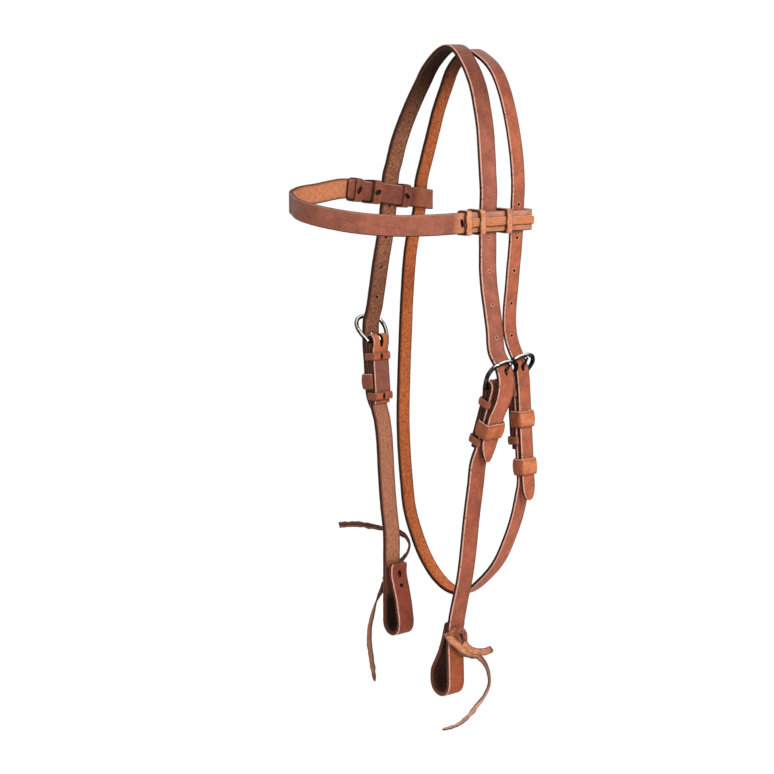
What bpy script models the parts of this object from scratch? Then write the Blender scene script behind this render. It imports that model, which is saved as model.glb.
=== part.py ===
# Western headstall: crown, cheeks with bit loops, browband, throatlatch, buckles, keepers and laces.
# Metres, +Z up. The horse faces -Y and its near side is +X. The origin is under the crown strap at the
# poll, where the headstall hangs.

import math

import bmesh
import bpy
from mathutils import Matrix, Vector

# Straps: width and thickness of each leather
STRAP_WIDTH = 0.0159
STRAP_THICK = 0.0034
THROAT_WIDTH = 0.0127
THROAT_THICK = 0.0030
BROW_WIDTH = 0.0159
BROW_THICK = 0.0030

# Laces, keepers and thongs
LACE_WIDTH = 0.0060
LACE_THICK = 0.0012
KEEPER_HEIGHT = 0.0130
KEEPER_THICK = 0.0015
THONG_WIDTH = 0.0065
THONG_THICK = 0.0016
BAND_CORNER = 0.0005
TIE_RADIUS = 0.0012
CORD_RADIUS = 0.0015
KNOT_DEPTH = 0.0048
KNOT_WIDTH = 0.0120
KNOT_HEIGHT = 0.0110

# Gaps between pieces that touch, and the slack that a sliding strap has in its pocket
GAP = 0.0003
POCKET_SLACK = 0.0011
TONGUE_SLACK = 0.0005

# Holes in the billets
HOLE_RADIUS = 0.0012
HOLE_PITCH = 0.0254
CROWN_HOLES = 4
THROAT_HOLES = 5
HOLE_SIDES = 10
TIE_HOLE_RADIUS = 0.0016
# How much further than whole pitches the holes lie from the one that the tongue is in
NEAR_HOLE_SHIFT = 0.0057
OFF_HOLE_SHIFT = 0.0025
THROAT_HOLE_SHIFT = 0.0022

# Buckles: height and half width are to the middle of the wire
BUCKLE_WIRE = 0.0034
TONGUE_WIRE = 0.0024
TONGUE_SLOT = 0.0040
CHEEK_BUCKLE_HEIGHT = 0.0240
THROAT_BUCKLE_HEIGHT = 0.0200
BUCKLE_BULGE = 0.0040
FRAME_OUT = math.radians(3)
FRAME_IN = math.radians(2)
TONGUE_PLAY = math.radians(3)
TONGUE_CURL = math.radians(290)

# Distances down from the heel bar of a buckle, along the cheek
UPPER_LACE = 0.0130
KEEPER_DROP = 0.0335
LOWER_LACE = 0.0455
TURNBACK = 0.0520
CHEEK_BILLET = 0.0600
THROAT_KEEPER_DROP = 0.0332
THROAT_LOWER_LACE = 0.0500
THROAT_TURNBACK = 0.0570
THROAT_SLIDER_DROP = 0.0705
THROAT_BILLET = 0.0970
CHEEK_TIP = 0.0170
THROAT_TIP = 0.0130

# Where the heel bars lie, each at its own height from the crown's drop, and how far each buckle's strap
# leans out at its top
CROWN_DROP = 0.2500
NEAR_BAR_BELOW = 0.0032
OFF_BAR_ABOVE = 0.0160
THROAT_BAR_ABOVE = 0.0010
NEAR_BAR = Vector((0.0673, -0.0185, -CROWN_DROP - NEAR_BAR_BELOW))
OFF_BAR = Vector((-0.0730, -0.0185, -CROWN_DROP + OFF_BAR_ABOVE))
THROAT_BAR = Vector((0.0603, 0.0095, -CROWN_DROP + THROAT_BAR_ABOVE))
NEAR_LEAN = math.radians(19)
OFF_LEAN = math.radians(5.5)
THROAT_LEAN = math.radians(-5)
NEAR_RAKE = math.radians(14)
OFF_RAKE = math.radians(34)
THROAT_RAKE = math.radians(36)

# How the straps hang: half spread at the browband, how far the crown comes forward and the throatlatch
# lies back and sinks at the poll, and the cheeks' lengths from bar to loop foot
NEAR_SPREAD = 0.0560
OFF_SPREAD = 0.0620
CROWN_FORWARD = 0.0170
THROAT_BACK = 0.0167
THROAT_SINK = 0.0028
NEAR_THROAT_Y = 0.0122
OFF_THROAT_Y = 0.0172
THROAT_LOW_Y = 0.0095
THROAT_DROP = 0.4370
NEAR_CHEEK_LENGTH = 0.2543
OFF_CHEEK_LENGTH = 0.2390
NEAR_LOOP_X = 0.0335
OFF_LOOP_X = 0.0458
LOOP_Y = -0.0265

# Bit loops: thickness over both layers, the gap left at the top, height of the end that turns back,
# and the tie holes
NEAR_LOOP_DEPTH = 0.0235
OFF_LOOP_DEPTH = 0.0212
NEAR_LOOP_GAP = 0.0003
OFF_LOOP_GAP = 0.0055
LOOP_HEIGHT = 0.0600
# How far each loop's turned back end has slid towards the back of the head, and the share of the
# height where that starts
NEAR_LOOP_SKEW = 0.0050
OFF_LOOP_SKEW = 0.0
SKEW_SHARE = 0.3
LOWER_TIE_HOLE = 0.0420
UPPER_TIE_HOLE = 0.0510

# Browband: where it lies, how far it stands forward, and how each end is laced
BROW_NEAR_Z = -0.1297
BROW_OFF_Z = -0.1166
BROW_REACH = 0.1320
BROW_NEAR_END = 0.0500
BROW_OFF_END = 0.0575
NEAR_WRAPS = (0.0440, 0.0300, 0.0026)
OFF_WRAPS = (0.0475, 0.0330, 0.0024)
THONG_SHORT = 0.0028
NEAR_FOLD_SLACK = 0.0045
OFF_FOLD_SLACK = 0.0018
SLIT_WIDTH = 0.0035
SLIT_HEIGHT = 0.0063

# A chape below its bar, as shares of its length: where its layers start to close and have closed, and
# the places of its inner and its outer layer
OPEN_SHARE = 0.78
SHUT_SHARE = 0.87
INNER_SHARES = (0.765, 0.5, 0.19, 0.16)
OUTER_SHARES = (0.15, 0.5, 0.94, 1.0)
# The throatlatch where its lower keeper slides, as shares of the keeper's height
SLIDER_SHARES = (0.2, 0.9)

# Billets in their buckles' own planes: share of how far out they lie, and share of the way down from
# the bar to the tip. Then the same through the frame, with the share of the way up to the rim
NEAR_BILLET_SHARES = ((1.32, 1.0), (1.12, 0.85), (1.0, 0.74), (1.0, 0.70), (1.0, 0.42), (1.0, 0.38),
                      (1.16, 0.24), (1.30, 0.10))
NEAR_RISE_SHARES = ((1.24, 0.12), (0.85, 0.45), (0.1, 0.75), (-0.75, 1.0))
OFF_BILLET_SHARES = ((1.0, 1.0), (1.0, 0.8), (1.0, 0.3), (1.0, 0.0))
OFF_RISE_SHARES = ((0.93, 0.3), (0.78, 0.65))
THROAT_BILLET_SHARES = ((1.0, 1.0), (1.0, 0.86), (1.0, 0.3), (1.0, 0.1), (0.97, 0.0))
THROAT_RISE_SHARES = ((0.87, 0.2), (0.6, 0.45), (0.1, 0.85), (-0.22, 1.28))

# The largest bend between two rings of a strap
BEND_STEP = math.radians(14)

# Half width of a billet's end, as shares of its length and width: the crown's are pointed and the
# throatlatch's is round
POINT_SHARES = ((0.0, 0.12), (0.08, 0.30), (0.35, 0.60), (0.68, 0.86), (1.0, 1.0))
ROUND_SHARES = ((0.0, 0.22), (0.1, 0.45), (0.35, 0.76), (0.65, 0.94), (1.0, 1.0))

# A buckle frame from the bar's middle to the rim's middle: height share, and share of the bulge
FRAME_SHARES = ((0.0, 0.0), (0.12, 0.35), (0.35, 0.85), (0.58, 1.0), (0.78, 0.62))
RIM_SHARES = ((0.92, 0.66), (0.985, 0.34))

# Crown from the poll down each side: shares of spread, forward set and drop
NEAR_CROWN_SHARES = ((0.292, 0.05, 0.046), (0.478, 0.15, 0.102), (0.671, 0.39, 0.182),
                     (0.786, 0.565, 0.24), (0.868, 0.735, 0.292), (0.956, 0.91, 0.37),
                     (1.0, 0.98, 0.43), (1.0, 1.0, 0.47), (1.0, 1.0, 0.60), (1.005, 1.0, 0.66),
                     (1.154, 1.02, 0.84))
OFF_CROWN_SHARES = ((0.436, 0.05, 0.048), (0.587, 0.15, 0.106), (0.736, 0.42, 0.19),
                    (0.826, 0.605, 0.252), (0.889, 0.745, 0.308), (0.94, 0.80, 0.356),
                    (0.981, 0.85, 0.392), (0.994, 0.88, 0.424), (0.998, 0.91, 0.456),
                    (1.014, 0.96, 0.52), (1.058, 1.01, 0.60), (1.114, 1.03, 0.66),
                    (1.219, 1.04, 0.784), (1.26, 1.05, 0.832))

# Throatlatch down each side: shares of spread, of how far behind the poll it starts, and of drop
NEAR_THROAT_SHARES = ((0.25, 1.0, 0.025), (0.52, 0.95, 0.068), (0.65, 0.93, 0.112),
                      (0.782, 0.91, 0.18), (0.873, 0.89, 0.244), (0.978, 0.86, 0.36),
                      (1.0, 0.845, 0.42), (1.0, 0.82, 0.46), (1.0, 0.69, 0.61), (0.985, 0.59, 0.70))
OFF_THROAT_SHARES = ((0.16, 1.0, 0.018), (0.345, 0.99, 0.058), (0.475, 0.965, 0.12), (0.615, 0.95, 0.192),
                     (0.72, 0.985, 0.256), (0.82, 1.04, 0.312), (0.894, 1.085, 0.354), (0.96, 1.105, 0.392),
                     (0.987, 1.09, 0.416), (0.997, 1.075, 0.436), (1.002, 1.06, 0.472),
                     (1.014, 1.01, 0.52), (1.05, 0.77, 0.592))
# Its lower sweep from the off side round to the near buckle: shares of spread, and of the whole drop
SWEEP_SHARES = ((-1.109, 0.453), (-1.145, 0.54), (-1.174, 0.618), (-1.184, 0.705), (-1.115, 0.811),
                (-1.05, 0.864), (-0.887, 0.915), (-0.677, 0.957), (-0.45, 0.984), (-0.20, 0.998),
                (0.1, 0.995), (0.25, 0.984), (0.477, 0.96), (0.784, 0.918), (0.984, 0.872),
                (1.161, 0.816), (1.225, 0.783))

# Cheeks between their chapes and the tops of their loops: shares of the way out, of the way forward
# from bar to loop, and of the way down
NEAR_CHEEK_SHARES = ((0.872, 0.24, 0.074), (0.773, 0.303, 0.185), (0.617, 0.40, 0.357),
                     (0.271, 0.632, 0.767), (0.033, 0.711, 0.906))
OFF_CHEEK_SHARES = ((0.714, 0.275, 0.107), (0.637, 0.31, 0.173), (0.433, 0.472, 0.478),
                    (0.292, 0.569, 0.661), (0.133, 0.655, 0.823))
# A loop's inner layer: shares of the way in from its top to its belly, and of its height
NEAR_LOOP_SHARES = ((1.0, 0.21), (1.0, 0.30), (0.83, 0.48), (0.57, 0.65), (0.28, 0.82))
OFF_LOOP_SHARES = ((1.0, 0.21), (1.0, 0.38), (0.76, 0.53), (0.28, 0.69), (0.05, 0.86))

# How far the browband's ends fall towards the back, as shares of their length, and where their layers
# have closed
NEAR_SLOPE_SHARE = 0.055
OFF_SLOPE_SHARE = 0.145
NEAR_CLOSED_SHARE = 0.8
OFF_CLOSED_SHARE = 0.7

# Browband from the near side's laces round the front: shares of spread, of the reach, and of the way
# from the near end's height to the off end's
BROW_SHARES = ((1.0, 0.45, 0.0), (0.955, 0.60, 0.0), (0.80, 0.74, 0.0), (0.48, 0.92, 0.11),
               (0.15, 0.975, 0.21), (-0.22, 0.99, 0.325), (-0.56, 0.955, 0.425), (-0.85, 0.88, 0.51),
               (-1.0, 0.84, 0.60), (-1.095, 0.73, 0.76), (-1.09, 0.62, 0.83))

# Free ends of the bit ties, each from its knot to its tip
NEAR_SHORT_END = ((0.0394, -0.0221, -0.4648), (0.0402, -0.0192, -0.4680), (0.0408, -0.0160, -0.4703),
                  (0.0414, -0.0110, -0.4722), (0.0421, -0.0055, -0.4735), (0.0428, -0.0005, -0.4735),
                  (0.0436, 0.0035, -0.4720))
NEAR_LONG_END = ((0.0378, -0.0263, -0.4675), (0.0371, -0.0240, -0.4700), (0.0371, -0.0205, -0.4725),
                 (0.0374, -0.0150, -0.4748), (0.0382, -0.0090, -0.4768), (0.0396, -0.0045, -0.4800),
                 (0.0415, -0.0015, -0.4850), (0.0435, 0.0002, -0.4930), (0.0448, -0.0005, -0.5010),
                 (0.0450, -0.0050, -0.5085), (0.0440, -0.0130, -0.5161), (0.0420, -0.0202, -0.5239),
                 (0.0400, -0.0283, -0.5289), (0.0380, -0.0370, -0.5307), (0.0370, -0.0435, -0.5307))
OFF_UPPER_END = ((-0.0502, -0.0222, -0.4222), (-0.0503, -0.0185, -0.4193), (-0.0506, -0.0130, -0.4168),
                 (-0.0511, -0.0080, -0.4143), (-0.0520, -0.0035, -0.4105), (-0.0530, -0.0009, -0.4051),
                 (-0.0550, -0.0025, -0.3990), (-0.0570, -0.0070, -0.3950), (-0.0588, -0.0150, -0.3915),
                 (-0.0600, -0.0233, -0.3890), (-0.0620, -0.0336, -0.3860), (-0.0640, -0.0469, -0.3824),
                 (-0.0660, -0.0570, -0.3812), (-0.0670, -0.0642, -0.3808))
OFF_LOWER_END = ((-0.0502, -0.0295, -0.4317), (-0.0504, -0.0314, -0.4352), (-0.0510, -0.0350, -0.4415),
                 (-0.0522, -0.0380, -0.4485), (-0.0530, -0.0396, -0.4545), (-0.0540, -0.0426, -0.4685),
                 (-0.0540, -0.0433, -0.4804), (-0.0530, -0.0413, -0.4986), (-0.0520, -0.0391, -0.5152))

HEAD = Vector((0.0, 1.0, 0.0))
UPRIGHT = Vector((0.0, 0.0, 1.0))


def material(name, colour, roughness, metallic=0.0):
    made = bpy.data.materials.new(name)
    made.use_nodes = True
    shader = made.node_tree.nodes["Principled BSDF"]
    shader.inputs["Base Color"].default_value = (*colour, 1.0)
    shader.inputs["Roughness"].default_value = roughness
    shader.inputs["Metallic"].default_value = metallic
    made.diffuse_color = (*colour, 1.0)
    return made


def collect(thing, collection, finish=None):
    collection.objects.link(thing)
    if finish:
        thing.data.materials.append(finish)
    return thing


def smooth(places):
    # A curve through the places, with more steps where it bends
    last = len(places) - 1
    ways = []
    for i, place in enumerate(places):
        before = place - places[i - 1] if i > 0 else places[1] - place
        after = places[i + 1] - place if i < last else before
        if i == 0:
            before = after
        ways.append((before.normalized() * after.length + after.normalized() * before.length).normalized())
    points = [places[0]]
    for i in range(last):
        chord = places[i + 1] - places[i]
        bend = ways[i].angle(chord) + chord.angle(ways[i + 1])
        steps = max(1, math.ceil(bend / BEND_STEP))
        for step in range(1, steps + 1):
            t = step / steps
            points.append((2 * t ** 3 - 3 * t ** 2 + 1) * places[i]
                          + (3 * t ** 2 - 2 * t ** 3) * places[i + 1]
                          + (t ** 3 - 2 * t ** 2 + t) * chord.length * ways[i]
                          + (t ** 3 - t ** 2) * chord.length * ways[i + 1])
    return points


def distances(points):
    run = [0.0]
    for a, b in zip(points, points[1:]):
        run.append(run[-1] + (b - a).length)
    return run


def along(points, run, distance):
    for i in range(1, len(points)):
        if distance <= run[i] or i == len(points) - 1:
            return points[i - 1].lerp(points[i], (distance - run[i - 1]) / (run[i] - run[i - 1]))


def tip_share(distance, tip, shares):
    if distance >= tip:
        return 1.0
    share = distance / tip
    (d0, s0), (d1, s1) = next(pair for pair in zip(shares, shares[1:]) if share <= pair[1][0])
    return s0 + (s1 - s0) * (share - d0) / (d1 - d0)


def strap(name, points, width, thick, across, finish, start_tip=0.0, end_tip=0.0, tip_shares=POINT_SHARES):
    # A flat grid laid along the points, given its thickness by Solidify
    run = distances(points)
    stations = set(run)
    if start_tip:
        stations |= {share * start_tip for share, _ in tip_shares}
    if end_tip:
        stations |= {run[-1] - share * end_tip for share, _ in tip_shares}
    stations = sorted(stations)
    stations = [d for i, d in enumerate(stations) if i == 0 or d - stations[i - 1] > GAP]
    last = len(stations) - 1
    mesh = bpy.data.meshes.new(name)
    form = bmesh.new()
    bmesh.ops.create_grid(form, x_segments=last, y_segments=1, size=1)
    for vert in form.verts:
        distance = stations[round((vert.co.x + 1) / 2 * last)]
        half = width / 2
        if start_tip:
            half *= tip_share(distance, start_tip, tip_shares)
        if end_tip:
            half *= tip_share(run[-1] - distance, end_tip, tip_shares)
        vert.co = along(points, run, distance) + across * math.copysign(half, vert.co.y)
    form.to_mesh(mesh)
    form.free()
    piece = collect(bpy.data.objects.new(name, mesh), parts, finish)
    wall = piece.modifiers.new("thickness", "SOLIDIFY")
    wall.thickness = thick
    wall.offset = 0.0
    wall.use_even_offset = True
    return piece


def cut(piece, cutter):
    cutter.hide_render = True
    cutter.display_type = "WIRE"
    bite = piece.modifiers.new("cut " + cutter.name, "BOOLEAN")
    bite.operation = "DIFFERENCE"
    bite.solver = "EXACT"
    bite.object = cutter


def drill(piece, name, holes, radius, depth):
    # One cutter of round pegs; each hole is a middle and a direction
    mesh = bpy.data.meshes.new(name)
    form = bmesh.new()
    for middle, way in holes:
        turn = way.to_track_quat("Z", "Y").to_matrix().to_4x4()
        bmesh.ops.create_cone(form, cap_ends=True, segments=HOLE_SIDES, radius1=radius, radius2=radius,
                              depth=depth, matrix=Matrix.Translation(middle) @ turn)
    form.to_mesh(mesh)
    form.free()
    cut(piece, collect(bpy.data.objects.new(name, mesh), cutters))


def box_cutter(piece, name, seat, low, high):
    mesh = bpy.data.meshes.new(name)
    form = bmesh.new()
    bmesh.ops.create_cube(form, size=1)
    for vert in form.verts:
        share = vert.co + Vector((0.5, 0.5, 0.5))
        vert.co = seat @ Vector([a + (b - a) * s for a, b, s in zip(low, high, share)])
    form.to_mesh(mesh)
    form.free()
    cut(piece, collect(bpy.data.objects.new(name, mesh), cutters))


def band(name, seat, low, high, height, wall, finish):
    # A loop of leather round the box from low to high in the seat's out and across directions
    ring = []
    corners = ((high[0], high[1], -1, -1), (low[0], high[1], 1, -1),
               (low[0], low[1], 1, 1), (high[0], low[1], -1, 1))
    for number, (x, y, right, up) in enumerate(corners):
        centre = Vector((x, y)) + Vector((right, up)) * BAND_CORNER
        for step in range(3):
            turn = math.radians(90 * number + 45 * step)
            ring.append(centre + Vector((math.cos(turn), math.sin(turn))) * BAND_CORNER)
    mesh = bpy.data.meshes.new(name)
    form = bmesh.new()
    bmesh.ops.create_cone(form, cap_ends=False, segments=len(ring), radius1=1, radius2=1, depth=1)
    for vert in form.verts:
        place = ring[round(math.atan2(vert.co.y, vert.co.x) / math.tau * len(ring)) % len(ring)]
        vert.co = Vector((place.x, place.y, vert.co.z * height))
    form.to_mesh(mesh)
    form.free()
    piece = collect(bpy.data.objects.new(name, mesh), parts, finish)
    piece.matrix_world = seat
    skin = piece.modifiers.new("wall", "SOLIDIFY")
    skin.thickness = wall
    skin.offset = 1.0
    skin.use_even_offset = True
    return piece


def wire(name, points, radius, finish, cyclic=False):
    curve = bpy.data.curves.new(name, "CURVE")
    curve.dimensions = "3D"
    curve.bevel_depth = radius
    curve.bevel_resolution = 2
    curve.use_fill_caps = not cyclic
    spline = curve.splines.new("POLY")
    spline.points.add(len(points) - 1)
    for point, place in zip(spline.points, points):
        point.co = (*place, 1.0)
    spline.use_cyclic_u = cyclic
    return collect(bpy.data.objects.new(name, curve), parts, finish)


def buckle_seat(bar, side, lean):
    # Axes at the heel bar: out from the horse, across the strap, and up along the cheek
    out = Vector((side * math.cos(lean), 0.0, -math.sin(lean)))
    up = Vector((side * math.sin(lean), 0.0, math.cos(lean)))
    seat = Matrix((out, up.cross(out), up)).transposed().to_4x4()
    seat.translation = bar
    return seat


def layers(thick):
    # How far out from the bar the middle of each layer lies
    main = BUCKLE_WIRE / 2 + GAP + thick / 2
    return {"main": main,
            "open": main - thick - KEEPER_THICK - 2 * GAP,
            "shut": main - thick - GAP,
            "billet": main + thick + LACE_THICK + 2 * GAP}


def turned_back(thick, length):
    # The chape in a buckle's own plane, from its inner end up, over the bar and down the outer side
    lie = layers(thick)
    places = [(lie["shut"], -length), (lie["shut"], -SHUT_SHARE * length),
              (lie["open"], -OPEN_SHARE * length)]
    places += [(lie["open"], -share * length) for share in INNER_SHARES]
    for degrees in range(180, -1, -30):
        turn = math.radians(degrees)
        places.append((lie["main"] * math.cos(turn), lie["main"] * math.sin(turn)))
    places += [(lie["main"], -share * length) for share in OUTER_SHARES]
    return places


def billet(thick, length, height, fall_shares, rise_shares):
    # A billet in its buckle's own plane, from its tip up over the bar and in through the frame
    lie = layers(thick)["billet"]
    places = [(out * lie, -fall * length) for out, fall in fall_shares]
    return places + [(out * lie, rise * height) for out, rise in rise_shares]


def placed(seat, pairs):
    return [seat @ Vector((u, 0.0, w)) for u, w in pairs]


def buckle(name, bar, side, lean, rake, height, width, thick):
    # The frame and its tongue, both turning on the heel bar
    seat = buckle_seat(bar, side, lean)
    hinge = bpy.data.objects.new(name + "_heel_bar", None)
    parts.objects.link(hinge)
    hinge.matrix_world = seat @ Matrix.Rotation(rake, 4, "Y")
    heel = width / 2 + GAP + BUCKLE_WIRE / 2
    half = [Vector((0.0, heel + BUCKLE_BULGE * bulge, height * rise)) for rise, bulge in FRAME_SHARES]
    wide = heel + BUCKLE_BULGE
    half += [Vector((0.0, wide * spread, height * rise)) for rise, spread in RIM_SHARES]
    rim = Vector((0.0, 0.0, height))
    outline = half + [rim] + [Vector((p.x, -p.y, p.z)) for p in reversed(half)]
    frame = wire(name + "_buckle_frame", smooth(outline), BUCKLE_WIRE / 2, metal, cyclic=True)
    frame.parent = hinge
    reach = (BUCKLE_WIRE + TONGUE_WIRE) / 2 + GAP
    rest = math.asin(reach / height)
    root = BUCKLE_WIRE / 2 + GAP + TONGUE_WIRE / 2
    shank = math.hypot(height, reach) + TONGUE_WIRE / 2
    leave = math.pi / 2 - rest - math.acos(root / shank)
    points = []
    for step in range(11):
        turn = leave - TONGUE_CURL * (1 - step / 10)
        points.append(Vector((root * math.cos(turn), 0.0, root * math.sin(turn))))
    tip = Vector((shank * math.sin(rest), 0.0, shank * math.cos(rest)))
    points += [points[-1].lerp(tip, 0.5), tip]
    tongue = wire(name + "_buckle_tongue", points, TONGUE_WIRE / 2, metal)
    tongue.parent = hinge
    return seat, points[-3], tip


def tongue_slot(piece, name, seat, rake, root, tip):
    # An oval peg through the billet, long enough for the tongue and its play
    radius = TONGUE_WIRE / 2 + TONGUE_SLACK
    outward, inward = FRAME_OUT + TONGUE_PLAY, FRAME_IN
    turn = seat @ Matrix.Rotation(rake + (outward - inward) / 2, 4, "Y")
    way = (turn @ tip) - (turn @ root)
    swing = 1 + tip.length / 2 * (outward + inward) / 2 / radius
    place = Matrix.Translation(turn @ root.lerp(tip, 0.5)) @ way.to_track_quat("Z", "Y").to_matrix().to_4x4()
    mesh = bpy.data.meshes.new(name)
    form = bmesh.new()
    bmesh.ops.create_cone(form, cap_ends=True, segments=HOLE_SIDES, radius1=radius, radius2=radius,
                          depth=way.length, matrix=place @ Matrix.Scale(swing, 4, (0.0, 1.0, 0.0)))
    form.to_mesh(mesh)
    form.free()
    cut(piece, collect(bpy.data.objects.new(name, mesh), cutters))


def hole_row(points, tongue_place, count, shift, forwards):
    # Places for billet holes, counted up from the one that the tongue is in
    run = distances(points)
    nearest = min(range(len(points)), key=lambda i: (points[i] - tongue_place).length)
    holes = []
    for number in range(1, count + 1):
        rise = number * HOLE_PITCH + shift
        distance = run[nearest] + (rise if forwards else -rise)
        middle = along(points, run, distance)
        way = along(points, run, distance + HOLE_RADIUS) - middle
        holes.append((middle, way.cross(HEAD).normalized()))
    return holes


def chape_slot(piece, name, seat, thick):
    deep = layers(thick)["main"] + thick
    low = (-deep, -TONGUE_SLOT / 2, -BUCKLE_WIRE - TONGUE_WIRE)
    high = (deep, TONGUE_SLOT / 2, deep)
    box_cutter(piece, name, seat, low, high)


def lace(name, seat, drop, width, thick, length):
    # A lace tied round both layers of a chape
    lie = layers(thick)
    edge = width / 2 + GAP
    low = (lie["open"] - thick / 2 - GAP, -edge)
    high = (lie["main"] + thick / 2 + GAP, edge)
    middle = seat @ Matrix.Translation((0.0, 0.0, -drop))
    return band(name, middle, low, high, length, LACE_THICK, lace_leather)


def keeper(name, seat, drop, width, thick):
    # A keeper goes round the outer layer of the cheek and the billet that lies on it
    inner = layers(thick)["main"] - thick / 2 - GAP
    edge = width / 2 + GAP
    middle = seat @ Matrix.Translation((0.0, 0.0, -drop))
    low, high = (inner, -edge), (layers(thick)["billet"] + thick / 2 + GAP, edge)
    return band(name, middle, low, high, KEEPER_HEIGHT, KEEPER_THICK, keeper_leather)


def bit_loop(x, foot, depth, top_gap, skew, side, shares):
    # The teardrop at a cheek's foot, from the outer layer down, round and up the inner layer
    belly = depth - STRAP_THICK
    top = STRAP_THICK + top_gap
    radius = belly / 2
    low = -foot + STRAP_THICK / 2 + radius
    places = [(x, -foot + LOOP_HEIGHT), (x, low + radius / 2)]
    for degrees in range(0, -181, -30):
        turn = math.radians(degrees)
        places.append((x + side * (math.cos(turn) - 1) * radius, low + radius * math.sin(turn)))
    loop = [Vector((u, LOOP_Y, w)) for u, w in places]
    for across, rise in (*shares, (0.0, 1.0)):
        inner = x - side * (top + (belly - top) * across)
        slide = max(0.0, (rise - SKEW_SHARE) / (1 - SKEW_SHARE)) ** 2
        loop.append(Vector((inner, LOOP_Y + skew * slide, -foot + LOOP_HEIGHT * rise)))
    return loop


def cheek(name, bar, side, lean, spread, foot, shares, loop):
    seat = buckle_seat(bar, side, lean)
    places = placed(seat, turned_back(STRAP_THICK, TURNBACK))
    top, end = places[-1], loop[0]
    for out, ahead, fall in shares:
        y = bar.y + (end.y - bar.y) * ahead
        places.append(Vector((end.x + (top.x - end.x) * out, y, top.z + (end.z - top.z) * fall)))
    piece = strap(name, smooth(places + loop), STRAP_WIDTH, STRAP_THICK, HEAD, leather)
    chape_slot(piece, name + "_chape_slot", seat, STRAP_THICK)
    holes = [(Vector((side * spread, LOOP_Y, -foot + rise)), Vector((1.0, 0.0, 0.0)))
             for rise in (LOWER_TIE_HOLE, UPPER_TIE_HOLE)]
    drill(piece, name + "_tie_holes", holes, TIE_HOLE_RADIUS, 3 * NEAR_LOOP_DEPTH)


def bit_tie(name, side, spread, foot, loop):
    # A lace through both layers of the loop, closed by a knot outside
    outer = STRAP_THICK / 2 + GAP + TIE_RADIUS
    knot = STRAP_THICK / 2 + GAP + KNOT_DEPTH / 2
    x = side * spread
    low, high = LOWER_TIE_HOLE - foot, UPPER_TIE_HOLE - foot
    inner_layer = smooth(loop[len(loop) // 2:])
    inside = side * (STRAP_THICK + TIE_RADIUS)
    lower_x, upper_x = [min(inner_layer, key=lambda place: abs(place.z - rise)).x - inside
                        for rise in (low, high)]
    path = [Vector((x + side * outer, LOOP_Y, low)),
            Vector((lower_x, LOOP_Y, low)),
            Vector((upper_x, LOOP_Y, high)),
            Vector((x + side * outer, LOOP_Y, high)),
            Vector((x + side * knot, LOOP_Y, (low + high) / 2))]
    ring = wire(name + "_lace", path, TIE_RADIUS, lace_leather, cyclic=True)
    mesh = bpy.data.meshes.new_from_object(ring.evaluated_get(bpy.context.evaluated_depsgraph_get()))
    mesh.name = name
    bpy.data.objects.remove(ring)
    form = bmesh.new()
    form.from_mesh(mesh)
    bmesh.ops.remove_doubles(form, verts=form.verts, dist=GAP / 10)
    form.to_mesh(mesh)
    form.free()
    tie = collect(bpy.data.objects.new(name, mesh), parts)
    ball = bpy.data.meshes.new(name + "_knot")
    form = bmesh.new()
    bmesh.ops.create_uvsphere(form, u_segments=12, v_segments=8, radius=0.5)
    for vert in form.verts:
        vert.co = Vector((vert.co.x * KNOT_DEPTH, vert.co.y * KNOT_WIDTH, vert.co.z * KNOT_HEIGHT))
    form.to_mesh(ball)
    form.free()
    lump = collect(bpy.data.objects.new(name + "_knot", ball), cutters)
    lump.location = (x + side * knot, LOOP_Y, (low + high) / 2)
    lump.hide_render = True
    lump.display_type = "WIRE"
    join = tie.modifiers.new("knot", "BOOLEAN")
    join.operation = "UNION"
    join.solver = "EXACT"
    join.object = lump


def crown():
    near, off = buckle_seat(NEAR_BAR, 1, NEAR_LEAN), buckle_seat(OFF_BAR, -1, OFF_LEAN)
    near_end = billet(STRAP_THICK, CHEEK_BILLET, CHEEK_BUCKLE_HEIGHT, NEAR_BILLET_SHARES, NEAR_RISE_SHARES)
    off_end = billet(STRAP_THICK, CHEEK_BILLET, CHEEK_BUCKLE_HEIGHT, OFF_BILLET_SHARES, OFF_RISE_SHARES)
    places = placed(near, near_end)
    for across, ahead, fall in reversed(NEAR_CROWN_SHARES):
        places.append(Vector((across * NEAR_SPREAD, -ahead * CROWN_FORWARD, -fall * CROWN_DROP)))
    places.append(Vector((0.0, 0.0, STRAP_THICK / 2)))
    for across, ahead, fall in OFF_CROWN_SHARES:
        places.append(Vector((-across * OFF_SPREAD, -ahead * CROWN_FORWARD, -fall * CROWN_DROP)))
    places += reversed(placed(off, off_end))
    points = smooth(places)
    piece = strap("crown_strap", points, STRAP_WIDTH, STRAP_THICK, HEAD, leather, CHEEK_TIP, CHEEK_TIP)
    return piece, points


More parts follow.
